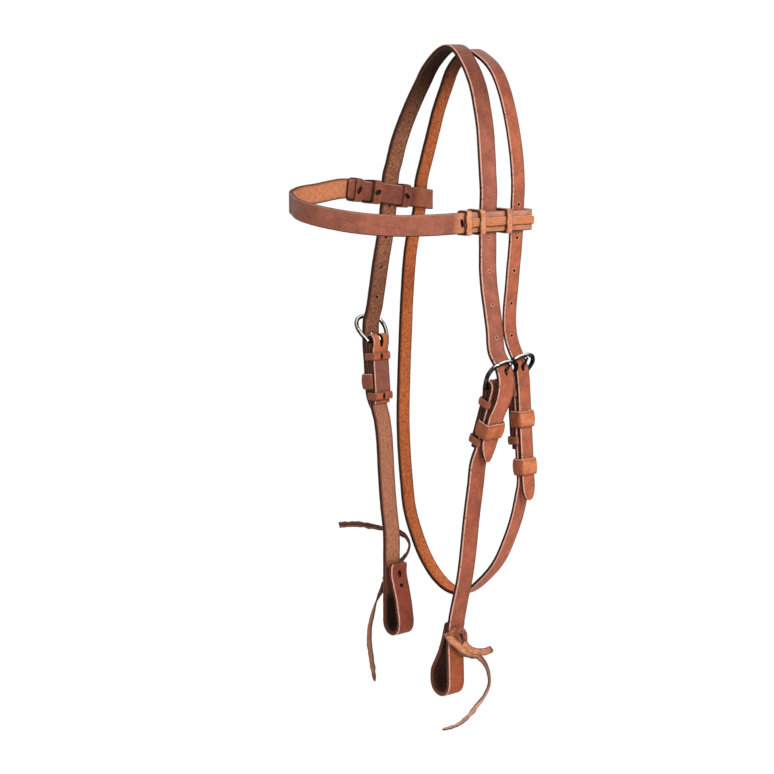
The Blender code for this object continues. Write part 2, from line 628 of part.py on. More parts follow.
def throatlatch():
    seat = buckle_seat(THROAT_BAR, 1, THROAT_LEAN)
    places = placed(seat, billet(THROAT_THICK, THROAT_BILLET, THROAT_BUCKLE_HEIGHT,
                                 THROAT_BILLET_SHARES, THROAT_RISE_SHARES))
    for across, back, fall in reversed(NEAR_THROAT_SHARES):
        places.append(Vector((across * NEAR_SPREAD, back * THROAT_BACK, -fall * CROWN_DROP)))
    places.append(Vector((0.0, THROAT_BACK, THROAT_THICK / 2 - THROAT_SINK)))
    for across, back, fall in OFF_THROAT_SHARES:
        places.append(Vector((-across * OFF_SPREAD, back * THROAT_BACK, -fall * CROWN_DROP)))
    for across, fall in SWEEP_SHARES:
        spread = NEAR_SPREAD if across > 0 else OFF_SPREAD
        places.append(Vector((across * spread, THROAT_LOW_Y, -fall * THROAT_DROP)))
    main = layers(THROAT_THICK)["main"]
    chape = turned_back(THROAT_THICK, THROAT_TURNBACK)
    chape += [(main, -THROAT_SLIDER_DROP - KEEPER_HEIGHT * share) for share in SLIDER_SHARES]
    places += reversed(placed(seat, chape))
    points = smooth(places)
    piece = strap("throatlatch_strap", points, THROAT_WIDTH, THROAT_THICK, HEAD, leather, THROAT_TIP,
                  tip_shares=ROUND_SHARES)
    chape_slot(piece, "throatlatch_chape_slot", seat, THROAT_THICK)
    return piece, points


def fold_middle(throat_y, slack):
    # Where the browband's fold behind the throat strap has its middle
    return throat_y + THROAT_WIDTH / 2 + 2 * GAP - pocket / 2 + slack


def fold(middle, y):
    # Half a turn in plan, from the fold's -X side
    places = []
    for degrees in range(-90, 91, 30):
        turn = math.radians(degrees)
        places.append((middle + pocket * math.sin(turn), y + pocket * math.cos(turn)))
    return places


def browband():
    shut = BROW_THICK + GAP
    front = -CROWN_FORWARD - STRAP_WIDTH / 2
    near_out, off_out = NEAR_SPREAD + pocket, OFF_SPREAD + pocket
    near_plan = [(near_out - shut, -BROW_NEAR_END), (near_out - shut, -NEAR_CLOSED_SHARE * BROW_NEAR_END),
                 (NEAR_SPREAD - pocket, front - 2 * GAP), (NEAR_SPREAD - pocket, front + STRAP_WIDTH / 2),
                 (NEAR_SPREAD - pocket, 0.0)]
    near_plan += fold(NEAR_SPREAD, fold_middle(NEAR_THROAT_Y, NEAR_FOLD_SLACK))
    near_plan += [(near_out, 0.0), (near_out, front), (near_out, -BROW_NEAR_END)]
    off_plan = [(-off_out, -BROW_OFF_END), (-off_out, -OFF_CLOSED_SHARE * BROW_OFF_END), (-off_out, front),
                (-off_out, 0.0)]
    off_plan += fold(-OFF_SPREAD, fold_middle(OFF_THROAT_Y, OFF_FOLD_SLACK))
    off_plan += [(pocket - OFF_SPREAD, 0.0), (pocket - OFF_SPREAD, front + STRAP_WIDTH / 2),
                 (pocket - OFF_SPREAD, front - 4 * GAP), (shut - off_out, -OFF_CLOSED_SHARE * BROW_OFF_END),
                 (shut - off_out, -BROW_OFF_END)]
    places = [Vector((x, y, BROW_NEAR_Z - NEAR_SLOPE_SHARE * y)) for x, y in near_plan]
    low = places[-1].z
    climb = BROW_OFF_Z + OFF_SLOPE_SHARE * BROW_OFF_END - low
    for across, ahead, rise in BROW_SHARES:
        spread = near_out if across > 0 else off_out
        places.append(Vector((across * spread, -ahead * BROW_REACH, low + climb * rise)))
    places += [Vector((x, y, BROW_OFF_Z - OFF_SLOPE_SHARE * y)) for x, y in off_plan]
    piece = strap("browband", smooth(places), BROW_WIDTH, BROW_THICK, UPRIGHT, leather)
    slit = -NEAR_WRAPS[0] - LACE_WIDTH / 2 - SLIT_WIDTH
    level = BROW_NEAR_Z - NEAR_SLOPE_SHARE * slit
    low = (near_out - BROW_THICK / 2 - GAP / 2, slit, level - SLIT_HEIGHT / 2)
    high = (near_out + BROW_THICK, slit + SLIT_WIDTH, level + SLIT_HEIGHT / 2)
    box_cutter(piece, "browband_slit", Matrix.Identity(4), low, high)


def brow_end(name, side, spread, level, slope, wraps, rear):
    # Laces round both layers of a browband end, and the thong that they hold on its outer face
    out = spread + pocket
    thong_x = out + BROW_THICK / 2 + GAP + THONG_THICK / 2
    front = -CROWN_FORWARD - STRAP_WIDTH / 2
    for number, ahead in enumerate(wraps, start=1):
        shut = number == 1
        inner = out - BROW_THICK - GAP if shut else spread - pocket
        inner -= BROW_THICK / 2 + GAP
        outer = thong_x + THONG_THICK / 2 + GAP
        tilt = Matrix.Rotation(-math.atan(slope) - math.pi / 2, 4, "X")
        seat = Matrix.Translation((0.0, -ahead, level + slope * ahead)) @ tilt
        edge = BROW_WIDTH / 2 + GAP + LACE_WIDTH * slope / 2
        low, high = sorted((side * inner, side * outer))
        band("%s_browband_lace_%d" % (name, number), seat, (low, -edge), (high, edge), LACE_WIDTH,
             LACE_THICK, lace_leather)
    points = [Vector((side * thong_x, y, level - slope * y))
              for y in (-wraps[0] - LACE_WIDTH / 2, front, 0.0, rear)]
    strap(name + "_browband_thong", points, THONG_WIDTH, THONG_THICK, UPRIGHT, lace_leather)


def cord(name, route, finish):
    wire(name, smooth([Vector(place) for place in route]), CORD_RADIUS, finish)


for old in list(bpy.data.objects):
    bpy.data.objects.remove(old, do_unlink=True)

parts = bpy.data.collections.new("western_headstall")
cutters = bpy.data.collections.new("cutters")
bpy.context.scene.collection.children.link(parts)
bpy.context.scene.collection.children.link(cutters)

leather = material("harness_leather", (0.36, 0.115, 0.06), 0.5)
keeper_leather = material("keeper_leather", (0.50, 0.17, 0.065), 0.45)
lace_leather = material("lace_leather", (0.52, 0.21, 0.10), 0.55)
metal = material("stainless_steel", (0.42, 0.41, 0.40), 0.22, metallic=1.0)

pocket = STRAP_THICK / 2 + POCKET_SLACK + BROW_THICK / 2

crown_piece, crown_points = crown()
throat_piece, throat_points = throatlatch()
browband()
tail = pocket + BROW_THICK / 2 - THONG_SHORT
brow_end("near", 1, NEAR_SPREAD, BROW_NEAR_Z, NEAR_SLOPE_SHARE, NEAR_WRAPS,
         fold_middle(NEAR_THROAT_Y, NEAR_FOLD_SLACK) + tail)
brow_end("off", -1, OFF_SPREAD, BROW_OFF_Z, OFF_SLOPE_SHARE, OFF_WRAPS,
         fold_middle(OFF_THROAT_Y, OFF_FOLD_SLACK) + tail)

near_foot, off_foot = NEAR_CHEEK_LENGTH - NEAR_BAR.z, OFF_CHEEK_LENGTH - OFF_BAR.z
near_loop = bit_loop(NEAR_LOOP_X, near_foot, NEAR_LOOP_DEPTH, NEAR_LOOP_GAP, NEAR_LOOP_SKEW, 1,
                     NEAR_LOOP_SHARES)
off_loop = bit_loop(-OFF_LOOP_X, off_foot, OFF_LOOP_DEPTH, OFF_LOOP_GAP, OFF_LOOP_SKEW, -1,
                    OFF_LOOP_SHARES)
cheek("near_cheek", NEAR_BAR, 1, NEAR_LEAN, NEAR_LOOP_X, near_foot, NEAR_CHEEK_SHARES, near_loop)
cheek("off_cheek", OFF_BAR, -1, OFF_LEAN, OFF_LOOP_X, off_foot, OFF_CHEEK_SHARES, off_loop)
bit_tie("near_bit_tie", 1, NEAR_LOOP_X, near_foot, near_loop)
bit_tie("off_bit_tie", -1, OFF_LOOP_X, off_foot, off_loop)

for name, bar, side, lean, rake, shift in (
        ("near_cheek", NEAR_BAR, 1, NEAR_LEAN, NEAR_RAKE, NEAR_HOLE_SHIFT),
        ("off_cheek", OFF_BAR, -1, OFF_LEAN, OFF_RAKE, OFF_HOLE_SHIFT)):
    seat, root, tip = buckle(name, bar, side, lean, rake, CHEEK_BUCKLE_HEIGHT, STRAP_WIDTH, STRAP_THICK)
    tongue_slot(crown_piece, name + "_tongue_slot", seat, rake, root, tip)
    turn = seat @ Matrix.Rotation(rake, 4, "Y")
    holes = hole_row(crown_points, (turn @ root).lerp(turn @ tip, 0.5), CROWN_HOLES, shift, side > 0)
    drill(crown_piece, name + "_billet_holes", holes, HOLE_RADIUS, 3 * STRAP_THICK)
    lace(name + "_upper_lace", seat, UPPER_LACE, STRAP_WIDTH, STRAP_THICK, LACE_WIDTH)
    lace(name + "_lower_lace", seat, LOWER_LACE, STRAP_WIDTH, STRAP_THICK, LACE_WIDTH)
    keeper(name + "_keeper", seat, KEEPER_DROP, STRAP_WIDTH, STRAP_THICK)

seat, root, tip = buckle("throatlatch", THROAT_BAR, 1, THROAT_LEAN, THROAT_RAKE, THROAT_BUCKLE_HEIGHT,
                         THROAT_WIDTH, THROAT_THICK)
tongue_slot(throat_piece, "throatlatch_tongue_slot", seat, THROAT_RAKE, root, tip)
turn = seat @ Matrix.Rotation(THROAT_RAKE, 4, "Y")
holes = hole_row(throat_points, (turn @ root).lerp(turn @ tip, 0.5), THROAT_HOLES, THROAT_HOLE_SHIFT, True)
drill(throat_piece, "throatlatch_billet_holes", holes, HOLE_RADIUS, 3 * THROAT_THICK)
lace("throatlatch_upper_lace", seat, UPPER_LACE, THROAT_WIDTH, THROAT_THICK, LACE_WIDTH)
lace("throatlatch_lower_lace", seat, THROAT_LOWER_LACE, THROAT_WIDTH, THROAT_THICK, LACE_WIDTH)
keeper("throatlatch_upper_keeper", seat, THROAT_KEEPER_DROP, THROAT_WIDTH, THROAT_THICK)
keeper("throatlatch_lower_keeper", seat, THROAT_SLIDER_DROP, THROAT_WIDTH, THROAT_THICK)

cord("near_tie_short_end", NEAR_SHORT_END, lace_leather)
cord("near_tie_long_end", NEAR_LONG_END, lace_leather)
cord("off_tie_upper_end", OFF_UPPER_END, lace_leather)
cord("off_tie_lower_end", OFF_LOWER_END, lace_leather)
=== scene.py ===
import bisect
import math

import bmesh
import bpy
from mathutils import Matrix, Vector, noise


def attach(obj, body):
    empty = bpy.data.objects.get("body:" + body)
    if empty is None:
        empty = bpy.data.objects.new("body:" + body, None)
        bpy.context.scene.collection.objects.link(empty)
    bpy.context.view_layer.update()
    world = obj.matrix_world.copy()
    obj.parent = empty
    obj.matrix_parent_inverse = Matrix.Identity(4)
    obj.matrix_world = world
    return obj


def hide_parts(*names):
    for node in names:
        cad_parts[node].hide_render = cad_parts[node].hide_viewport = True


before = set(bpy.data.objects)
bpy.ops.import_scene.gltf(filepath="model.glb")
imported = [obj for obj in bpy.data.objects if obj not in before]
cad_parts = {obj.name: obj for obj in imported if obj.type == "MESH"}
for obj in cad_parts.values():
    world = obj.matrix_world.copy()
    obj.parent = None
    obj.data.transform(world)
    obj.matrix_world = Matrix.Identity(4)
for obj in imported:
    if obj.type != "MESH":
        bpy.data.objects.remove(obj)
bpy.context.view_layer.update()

scene = bpy.context.scene
print("frame loaded:", len(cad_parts), "nodes")

# Leathers, as width and thickness, and the small gap between layers
leathers = {"crown": (0.0159, 0.0034), "throat": (0.0127, 0.0030), "brow": (0.0159, 0.0030)}
gap = 0.0003
aft = Vector((0.0, 1.0, 0.0))   # across a strap that hangs
upright = Vector((0.0, 0.0, 1.0))   # across the browband

# The camera comes first, because the free ends are judged by it
view = {"azimuth": 50, "elevation": 10, "distance": 1.5, "target": (-0.0345, -0.04067, -0.26517), "lens": 87.49}


def placeCamera():
    turn, lift = math.radians(view["azimuth"]), math.radians(view["elevation"])
    away = Vector((math.sin(turn) * math.cos(lift), -math.cos(turn) * math.cos(lift), math.sin(lift)))
    data = bpy.data.cameras.new("photoCamera")
    data.lens = view["lens"]
    data.sensor_width = 36
    data.clip_start = 0.05
    camera = bpy.data.objects.new("photoCamera", data)
    scene.collection.objects.link(camera)
    camera.location = Vector(view["target"]) + away * view["distance"]
    camera.rotation_euler = (-away).to_track_quat("-Z", "Y").to_euler()
    scene.camera = camera


placeCamera()
print("camera placed")


def addNode(tree, kind, settings=None, **sockets):
    made = tree.nodes.new(kind)
    for key, value in (settings or {}).items():
        setattr(made, key, value)
    for key, value in sockets.items():
        socket = made.inputs[int(key[1:])] if key[0] == "_" else made.inputs[key]
        if isinstance(value, bpy.types.NodeSocket):
            tree.links.new(value, socket)
        elif socket.type == "RGBA" and len(value) == 3:
            socket.default_value = (*value, 1.0)
        else:
            socket.default_value = value
    return made


def newFinish(name):
    made = bpy.data.materials.new(name)
    made.use_nodes = True
    return made, made.node_tree, made.node_tree.nodes["Principled BSDF"]


def reckon(tree, operation, a, b=0.0):
    return addNode(tree, "ShaderNodeMath", {"operation": operation}, _0=a, _1=b).outputs[0]


def times(tree, a, b):
    return reckon(tree, "MULTIPLY", a, b)


def plus(tree, a, b):
    return reckon(tree, "ADD", a, b)


def rise(tree, value, low, high):
    made = addNode(tree, "ShaderNodeMapRange", {"interpolation_type": "SMOOTHSTEP"}, _0=value, _1=low, _2=high)
    return made.outputs[0]


def split(tree, vector):
    return addNode(tree, "ShaderNodeSeparateXYZ", _0=vector).outputs


def speckle(tree, place, scale, detail):
    return addNode(tree, "ShaderNodeTexNoise", Vector=place, Scale=scale, Detail=detail).outputs[0]


def mixColour(tree, share, a, b):
    return addNode(tree, "ShaderNodeMix", {"data_type": "RGBA"}, _0=share, _6=a, _7=b).outputs[2]


def tinted(colour, share):
    return [part * share for part in colour]


def mottled(tree, tone, colour, spread):
    return mixColour(tree, tone, tinted(colour, 1 - spread), tinted(colour, 1 + spread))


def patch(colour, share, **stops):
    # A colour that fades in between two stops along an axis; four stops give it a start and an end
    return stops, colour, share


def patched(tree, axes, tone, colour, spread, patches):
    for stops, tint, share in patches:
        here = share
        for axis, places in stops.items():
            for low, high in zip(places[::2], places[1::2]):
                here = times(tree, rise(tree, axes[axis], low, high), here)
        colour = mixColour(tree, here, colour, mottled(tree, tone, tint, spread))
    return colour


# Middles of the grain face and the flesh face on the wrap map
faceMiddles = (0.2, 0.7)
# Where each mark fades in: along the wrap map, along a noise, or by how far the surface faces the front, where the
# grain gets a painted shade
marks = {"face": (0.212, 0.198), "grainRim": (0.12, 0.195), "fleshRim": (0.145, 0.20), "edgeGlint": (0.235, 0.215),
         "lineStart": (-0.012, 0.0), "lineEnd": (0.042, 0.026), "lineBreaks": (0.30, 0.46), "tone": (0.38, 0.62),
         "nap": (0.42, 0.58), "fleck": (0.52, 0.72), "edgeSpeck": (0.35, 0.75), "front": (-0.3, -0.8)}
# What is left of the colour at each of these
tints = {"grainRim": 0.55, "fleshRim": 0.2, "front": 0.3}
toneShares = {"cloud": 0.55, "mottle": 0.45}
# Noise scale, then how often it repeats round the strap and along it
strokes = {"streak": (1.6, 42.0, 60.0), "fibre": (0.9, 120.0, 900.0)}
relief = {"pores": 0.4, "fine": 0.6, "mottle": 0.8, "fibre": 2.2, "depth": 0.0003, "fineRough": 0.14,
          "fleshRough": 0.26}


def leatherFinish(name, look):
    # Wrap map: 0 to 0.4 is the grain face, 0.4 to 0.5 an edge, 0.5 to 0.9 the flesh face, 0.9 to 1 the other edge
    made, tree, shader = newFinish(name)
    around, length = split(tree, addNode(tree, "ShaderNodeUVMap", {"uv_map": "wrap"}).outputs[0])[:2]
    texture = addNode(tree, "ShaderNodeTexCoord").outputs
    place = texture["Object"]
    axes = dict(zip("XYZ", split(tree, place)))
    outer, inner = (reckon(tree, "ABSOLUTE", reckon(tree, "SUBTRACT", around, middle)) for middle in faceMiddles)
    onGrain, onFlesh = (rise(tree, side, *marks["face"]) for side in (outer, inner))

    def mark(value, key, share):
        return times(tree, rise(tree, value, *marks[key]), share)

    def rough(scale, where=place):
        return addNode(tree, "ShaderNodeTexNoise", Vector=where, Scale=scale, Detail=4.0, Roughness=0.62).outputs[0]

    def drawnOut(scale, widthways, lengthways):
        return rough(scale, addNode(tree, "ShaderNodeCombineXYZ", _0=times(tree, around, widthways),
                                    _1=times(tree, length, lengthways)).outputs[0])

    cloud, mottle, fine = (rough(look[key]) for key in ("cloudScale", "mottleScale", "fineScale"))
    streak, fibre = drawnOut(*strokes["streak"]), drawnOut(*strokes["fibre"])
    less = look["streak"] / 2
    tone = plus(tree, times(tree, mottle, toneShares["mottle"] - less), times(tree, streak, look["streak"]))
    tone = rise(tree, plus(tree, times(tree, cloud, toneShares["cloud"] - less), tone), *marks["tone"])
    grain = mottled(tree, tone, look["grain"], look["spread"])
    grain = patched(tree, axes, tone, grain, look["spread"], look["grainPatches"])
    grain = mixColour(tree, mark(fine, "fleck", look["fleck"]), grain, look["fleckColour"])
    rim = tinted(look["grain"], tints["grainRim"])
    grain = mixColour(tree, mark(outer, "grainRim", look["edgeShade"]), grain, rim)
    # Painted shade: the grain is darkened where the surface faces the front
    front = split(tree, texture["Normal"])[1]
    grain = mixColour(tree, mark(front, "front", look["frontShade"]), grain, tinted(look["grain"], tints["front"]))

    nap = rise(tree, times(tree, plus(tree, fibre, mottle), 0.5), *marks["nap"])
    flesh = mottled(tree, nap, look["flesh"], look["fleshSpread"])
    flesh = patched(tree, axes, nap, flesh, look["fleshSpread"], look["fleshPatches"])
    rim = tinted(look["flesh"], tints["fleshRim"])
    flesh = mixColour(tree, mark(inner, "fleshRim", look["fleshShade"]), flesh, rim)

    edge = mixColour(tree, rise(tree, fine, *marks["edgeSpeck"]), look["edge"], look["edgeLight"])
    edge = patched(tree, axes, tone, edge, look["spread"], look["edgePatches"])
    # A paler line along the edge where it meets the flesh face: a painted highlight on its rounded corner
    edge = mixColour(tree, mark(inner, "edgeGlint", look["edgeGlintShare"]), edge, look["edgeGlintColour"])
    colour = mixColour(tree, onFlesh, mixColour(tree, onGrain, edge, grain), flesh)
    # Arris lines of the grain face: the low one is at 0 and 1 of the map, the high one at 0.4. The pale lines are
    # painted highlights where the arris catches the light; the dark one takes the edge colour
    lowSide = reckon(tree, "SUBTRACT", 0.5, reckon(tree, "FRACT", plus(tree, around, 0.5)))
    highSide = reckon(tree, "SUBTRACT", around, 0.4)
    for side, line, tint in ((lowSide, look["lowArrisHighlight"], look["arrisHighlight"]),
                             (highSide, look["highArrisHighlight"], look["arrisHighlight"]),
                             (highSide, look["darkLine"], look["edge"])):
        if line:
            here = mark(side, "lineStart", rise(tree, side, *marks["lineEnd"]))
            here = times(tree, here, rise(tree, mottle, *marks["lineBreaks"]))
            colour = mixColour(tree, times(tree, here, line), colour, tint)
    tree.links.new(colour, shader.inputs["Base Color"])

    matt = plus(tree, look["roughness"], times(tree, fine, relief["fineRough"]))
    tree.links.new(plus(tree, matt, times(tree, onFlesh, relief["fleshRough"])), shader.inputs["Roughness"])
    shader.inputs["Specular IOR Level"].default_value = look["specular"]

    pores = addNode(tree, "ShaderNodeTexVoronoi", {"feature": "SMOOTH_F1"}, Vector=place, Scale=look["poreScale"],
                    Smoothness=0.6).outputs["Distance"]
    skin = plus(tree, times(tree, fine, relief["fine"]), times(tree, mottle, relief["mottle"]))
    skin = plus(tree, times(tree, pores, relief["pores"]), skin)
    height = plus(tree, times(tree, skin, onGrain), times(tree, times(tree, fibre, relief["fibre"]), onFlesh))
    bump = addNode(tree, "ShaderNodeBump", Strength=look["bump"], Distance=relief["depth"], Height=height)
    tree.links.new(bump.outputs[0], shader.inputs["Normal"])
    return made


strapLook = {"grain": (0.41, 0.132, 0.085), "spread": 0.26, "flesh": (0.27, 0.105, 0.060), "fleshSpread": 0.36,
             "edge": (0.016, 0.006, 0.0045), "edgeLight": (0.080, 0.028, 0.017), "edgeGlintColour": (0.20, 0.075, 0.045),
             "edgeGlintShare": 0.35, "arrisHighlight": (0.86, 0.44, 0.32), "lowArrisHighlight": 0.9, "highArrisHighlight": 0.0, "darkLine": 1.0,
             "fleck": 0.30, "fleckColour": (0.62, 0.24, 0.16), "edgeShade": 0.3, "frontShade": 0.0, "fleshShade": 0.6,
             "streak": 0.2, "roughness": 0.42, "specular": 0.08, "cloudScale": 80.0, "mottleScale": 520.0,
             "fineScale": 1300.0, "poreScale": 1600.0, "bump": 0.3, "grainPatches": (), "fleshPatches": (),
             "edgePatches": ()}
# Over the poll the flesh, which faces down, is painted near black: a painted shade
crownLook = dict(strapLook, flesh=(0.30, 0.118, 0.066), fleshSpread=0.5,
                 grainPatches=(patch((0.20, 0.058, 0.034), 0.9, Z=(-0.090, -0.010)),
                               patch((0.50, 0.137, 0.070), 0.9, X=(0.0, 0.02), Z=(-0.228, -0.240))),
                 fleshPatches=(patch((0.020, 0.008, 0.006), 0.97, Z=(-0.085, -0.015)),))
# Over the poll the throatlatch's flesh is painted dark: a painted shade
throatLook = dict(strapLook, grain=(0.47, 0.135, 0.070), flesh=(0.62, 0.170, 0.058),
                  grainPatches=(patch((0.27, 0.080, 0.045), 0.9, Z=(-0.060, -0.004)),),
                  fleshPatches=(patch((0.040, 0.016, 0.010), 0.92, Z=(-0.050, -0.008)),))
# The flesh inside the bit loop is painted dark: a painted shade in the loop's hollow
nearCheekLook = dict(strapLook, grain=(0.39, 0.108, 0.060), darkLine=0.5,
                     grainPatches=(patch((0.38, 0.090, 0.037), 0.9, Z=(-0.445, -0.455)),),
                     fleshPatches=(patch((0.055, 0.019, 0.011), 0.97, Z=(-0.446, -0.456)),),
                     edgePatches=(patch((0.13, 0.045, 0.023), 0.9, Z=(-0.446, -0.456)),))
# The flesh inside the bit loop is painted darker, and near black lower down: a painted shade in the loop's hollow
offCheekLook = dict(strapLook, grain=(0.42, 0.115, 0.055), flesh=(0.45, 0.180, 0.102), fleshSpread=0.25,
                    grainPatches=(patch((0.52, 0.145, 0.055), 0.9, Z=(-0.243, -0.239)),
                                  patch((0.24, 0.088, 0.066), 0.9, Z=(-0.247, -0.253, -0.285, -0.272)),
                                  patch((0.25, 0.055, 0.031), 0.95, Z=(-0.409, -0.416))),
                    fleshPatches=(patch((0.24, 0.085, 0.052), 0.97, Z=(-0.409, -0.416)),
                                  patch((0.024, 0.010, 0.007), 0.95, Z=(-0.432, -0.446))),
                    edgePatches=(patch((0.09, 0.031, 0.018), 0.9, Z=(-0.409, -0.416)),))
browLook = dict(strapLook, grain=(0.335, 0.108, 0.067), flesh=(0.60, 0.22, 0.105), fleshSpread=0.2, darkLine=0.3,
                lowArrisHighlight=0.0, highArrisHighlight=0.55, streak=0.3, edgeShade=0.0,
                # The near end is painted brighter, and its upper layer too: painted light where it falls most
                grainPatches=(patch((0.66, 0.26, 0.135), 0.92, X=(0.03, 0.045), Y=(-0.060, -0.050)),
                              patch((0.62, 0.25, 0.155), 0.85, X=(0.03, 0.045), Y=(-0.044, -0.040),
                                    Z=(-0.1262, -0.1238)),
                              patch((0.16, 0.048, 0.030), 0.95, X=(0.0, -0.060), Y=(-0.085, -0.098)),
                              patch((0.24, 0.072, 0.047), 0.92, X=(-0.03, -0.045), Y=(-0.064, -0.052)),
                              patch((0.46, 0.150, 0.075), 0.85, X=(-0.03, -0.045), Y=(0.004, 0.014))))
keeperLook = dict(strapLook, grain=(0.53, 0.137, 0.052), spread=0.3, flesh=(0.30, 0.11, 0.055),
                  edge=(0.05, 0.018, 0.009), edgeLight=(0.14, 0.05, 0.026), fleckColour=(0.72, 0.28, 0.13),
                  lowArrisHighlight=0.0, highArrisHighlight=0.8, darkLine=0.0, edgeShade=0.6, frontShade=0.6, specular=0.2,
                  cloudScale=160.0, grainPatches=(patch((0.64, 0.205, 0.085), 0.9, Y=(0.0, 0.002)),
                                                  patch((0.33, 0.088, 0.048), 0.9, X=(0.0, -0.02))))
laceLook = dict(keeperLook, grain=(0.47, 0.130, 0.058), spread=0.4, flesh=(0.34, 0.13, 0.07), highArrisHighlight=0.3,
                streak=0.35, bump=0.5,
                # The near browband laces are painted brighter: painted light
                grainPatches=(patch((0.70, 0.285, 0.150), 0.95, Z=(-0.165, -0.150), X=(0.0, 0.02)),
                              patch((0.22, 0.066, 0.034), 0.92, Z=(-0.165, -0.150), X=(0.0, -0.02)),
                              patch((0.43, 0.105, 0.048), 0.9, Z=(-0.20, -0.22), X=(0.0, -0.02))))
thongLook = dict(laceLook, grain=(0.66, 0.225, 0.092), streak=0.8, spread=0.35, highArrisHighlight=0.9, grainPatches=())
darkEnd = patch((0.040, 0.014, 0.010), 0.95, Z=(-0.400, -0.391), Y=(-0.010, -0.020))
tieLook = dict(laceLook, grain=(0.60, 0.235, 0.115), spread=0.45, flesh=(0.12, 0.036, 0.026),
               edge=(0.050, 0.015, 0.011), edgeLight=(0.13, 0.040, 0.027), arrisHighlight=(0.62, 0.34, 0.25),
               lowArrisHighlight=0.12, highArrisHighlight=0.35, frontShade=0.2, edgeShade=0.95, fleck=0.08,
               fleshPatches=(darkEnd,), edgePatches=(darkEnd,),
               grainPatches=(patch((0.33, 0.135, 0.070), 0.9, X=(0.0, -0.02)),
                             patch((0.16, 0.050, 0.036), 0.8, Y=(-0.008, -0.003), Z=(-0.4765, -0.480)),
                             patch((0.62, 0.31, 0.215), 0.9, Z=(-0.497, -0.510), X=(0.0, 0.02)),
                             darkEnd,
                             patch((0.10, 0.030, 0.022), 0.95, X=(0.0, -0.02), Z=(-0.505, -0.511)),
                             patch((0.06, 0.025, 0.018), 0.9, Y=(0.0008, 0.0026), Z=(-0.4790, -0.4745))))
knotLook = dict(tieLook, grain=(0.33, 0.085, 0.040), spread=0.75, lowArrisHighlight=0.25, highArrisHighlight=0.25, mottleScale=420.0,
                # On the off side the knot is painted near black: a painted shade
                grainPatches=(patch((0.08, 0.024, 0.017), 0.9, X=(0.0, -0.02)),))

finishes = {name: leatherFinish(name + "Leather", look) for name, look in (
    ("crown", crownLook), ("throat", throatLook), ("nearCheek", nearCheekLook), ("offCheek", offCheekLook),
    ("brow", browLook), ("keeper", keeperLook), ("lace", laceLook), ("thong", thongLook), ("tie", tieLook),
    ("knot", knotLook))}


def rawLeather(name, dark, light, scale):
    # Cut leather, inside a hole or on its lip
    made, tree, shader = newFinish(name)
    speck = speckle(tree, addNode(tree, "ShaderNodeTexCoord").outputs["Object"], scale, 3.0)
    tree.links.new(mixColour(tree, rise(tree, speck, 0.35, 0.7), dark, light), shader.inputs["Base Color"])
    shader.inputs["Roughness"].default_value = 0.75
    shader.inputs["Specular IOR Level"].default_value = 0.2
    return made


# The cut leather also colours the thin sheets of painted shade under the lace slits
cutLeather = rawLeather("cutLeather", (0.016, 0.006, 0.004), (0.05, 0.018, 0.011), 1200.0)
lipLeather = rawLeather("lipLeather", (0.60, 0.25, 0.17), (0.82, 0.44, 0.33), 900.0)

# Where the wire faces the glint direction its colour is painted near white: a painted highlight, broken up by the smear
steel = {"dark": (0.016, 0.014, 0.013), "light": (0.075, 0.068, 0.063), "paintedGlint": (0.93, 0.92, 0.90), "rim": 0.10,
         "glintFacing": (0.68, -0.35, 0.64), "glintFrom": (0.82, 0.96), "smearScale": 260.0, "scuffScale": 2600.0,
         "dullFrom": (0.35, 0.7), "glintBreaks": (0.30, 0.50), "roughness": 0.10, "smearRough": 0.16,
         "scuffDepth": 0.0001}


def steelFinish():
    made, tree, shader = newFinish("buckleSteel")
    texture = addNode(tree, "ShaderNodeTexCoord").outputs
    smear = speckle(tree, texture["Object"], steel["smearScale"], 4.0)
    scuff = speckle(tree, texture["Object"], steel["scuffScale"], 2.0)
    dull = mixColour(tree, rise(tree, smear, *steel["dullFrom"]), steel["dark"], steel["light"])
    # Painted highlight: the base colour goes near white on the side of the wire that faces one direction
    x, y, z = split(tree, texture["Normal"])
    x, y, z = (times(tree, part, share) for part, share in zip((reckon(tree, "ABSOLUTE", x), y, z), steel["glintFacing"]))
    paintedGlint = rise(tree, plus(tree, x, plus(tree, y, z)), *steel["glintFrom"])
    paintedGlint = times(tree, paintedGlint, rise(tree, smear, *steel["glintBreaks"]))
    tree.links.new(mixColour(tree, paintedGlint, dull, steel["paintedGlint"]), shader.inputs["Base Color"])
    shader.inputs["Metallic"].default_value = 1.0
    shader.inputs["Specular Tint"].default_value = (steel["rim"], steel["rim"], steel["rim"], 1.0)
    rough = plus(tree, steel["roughness"], times(tree, smear, steel["smearRough"]))
    tree.links.new(rough, shader.inputs["Roughness"])
    bump = addNode(tree, "ShaderNodeBump", Strength=0.12, Distance=steel["scuffDepth"], Height=scuff)
    tree.links.new(bump.outputs[0], shader.inputs["Normal"])
    return made


buckleSteel = steelFinish()
print("finishes made")


def smoothRoute(places, bendStep=4.0, longest=0.0022):
    # One curve through all the places, in steps that follow its bends
    last = len(places) - 1
    ways = []
    for i, place in enumerate(places):
        before = place - places[i - 1] if i > 0 else places[1] - place
        after = places[i + 1] - place if i < last else before
        ways.append((before.normalized() * after.length + after.normalized() * before.length).normalized())
    points = [places[0]]
    for i in range(last):
        chord = places[i + 1] - places[i]
        bend = ways[i].angle(chord) + chord.angle(ways[i + 1])
        steps = max(1, math.ceil(math.degrees(bend) / bendStep), math.ceil(chord.length / longest))
        for step in range(1, steps + 1):
            t = step / steps
            points.append((2 * t ** 3 - 3 * t ** 2 + 1) * places[i]
                          + (3 * t ** 2 - 2 * t ** 3) * places[i + 1]
                          + (t ** 3 - 2 * t ** 2 + t) * chord.length * ways[i]
                          + (t ** 3 - t ** 2) * chord.length * ways[i + 1])
    return points


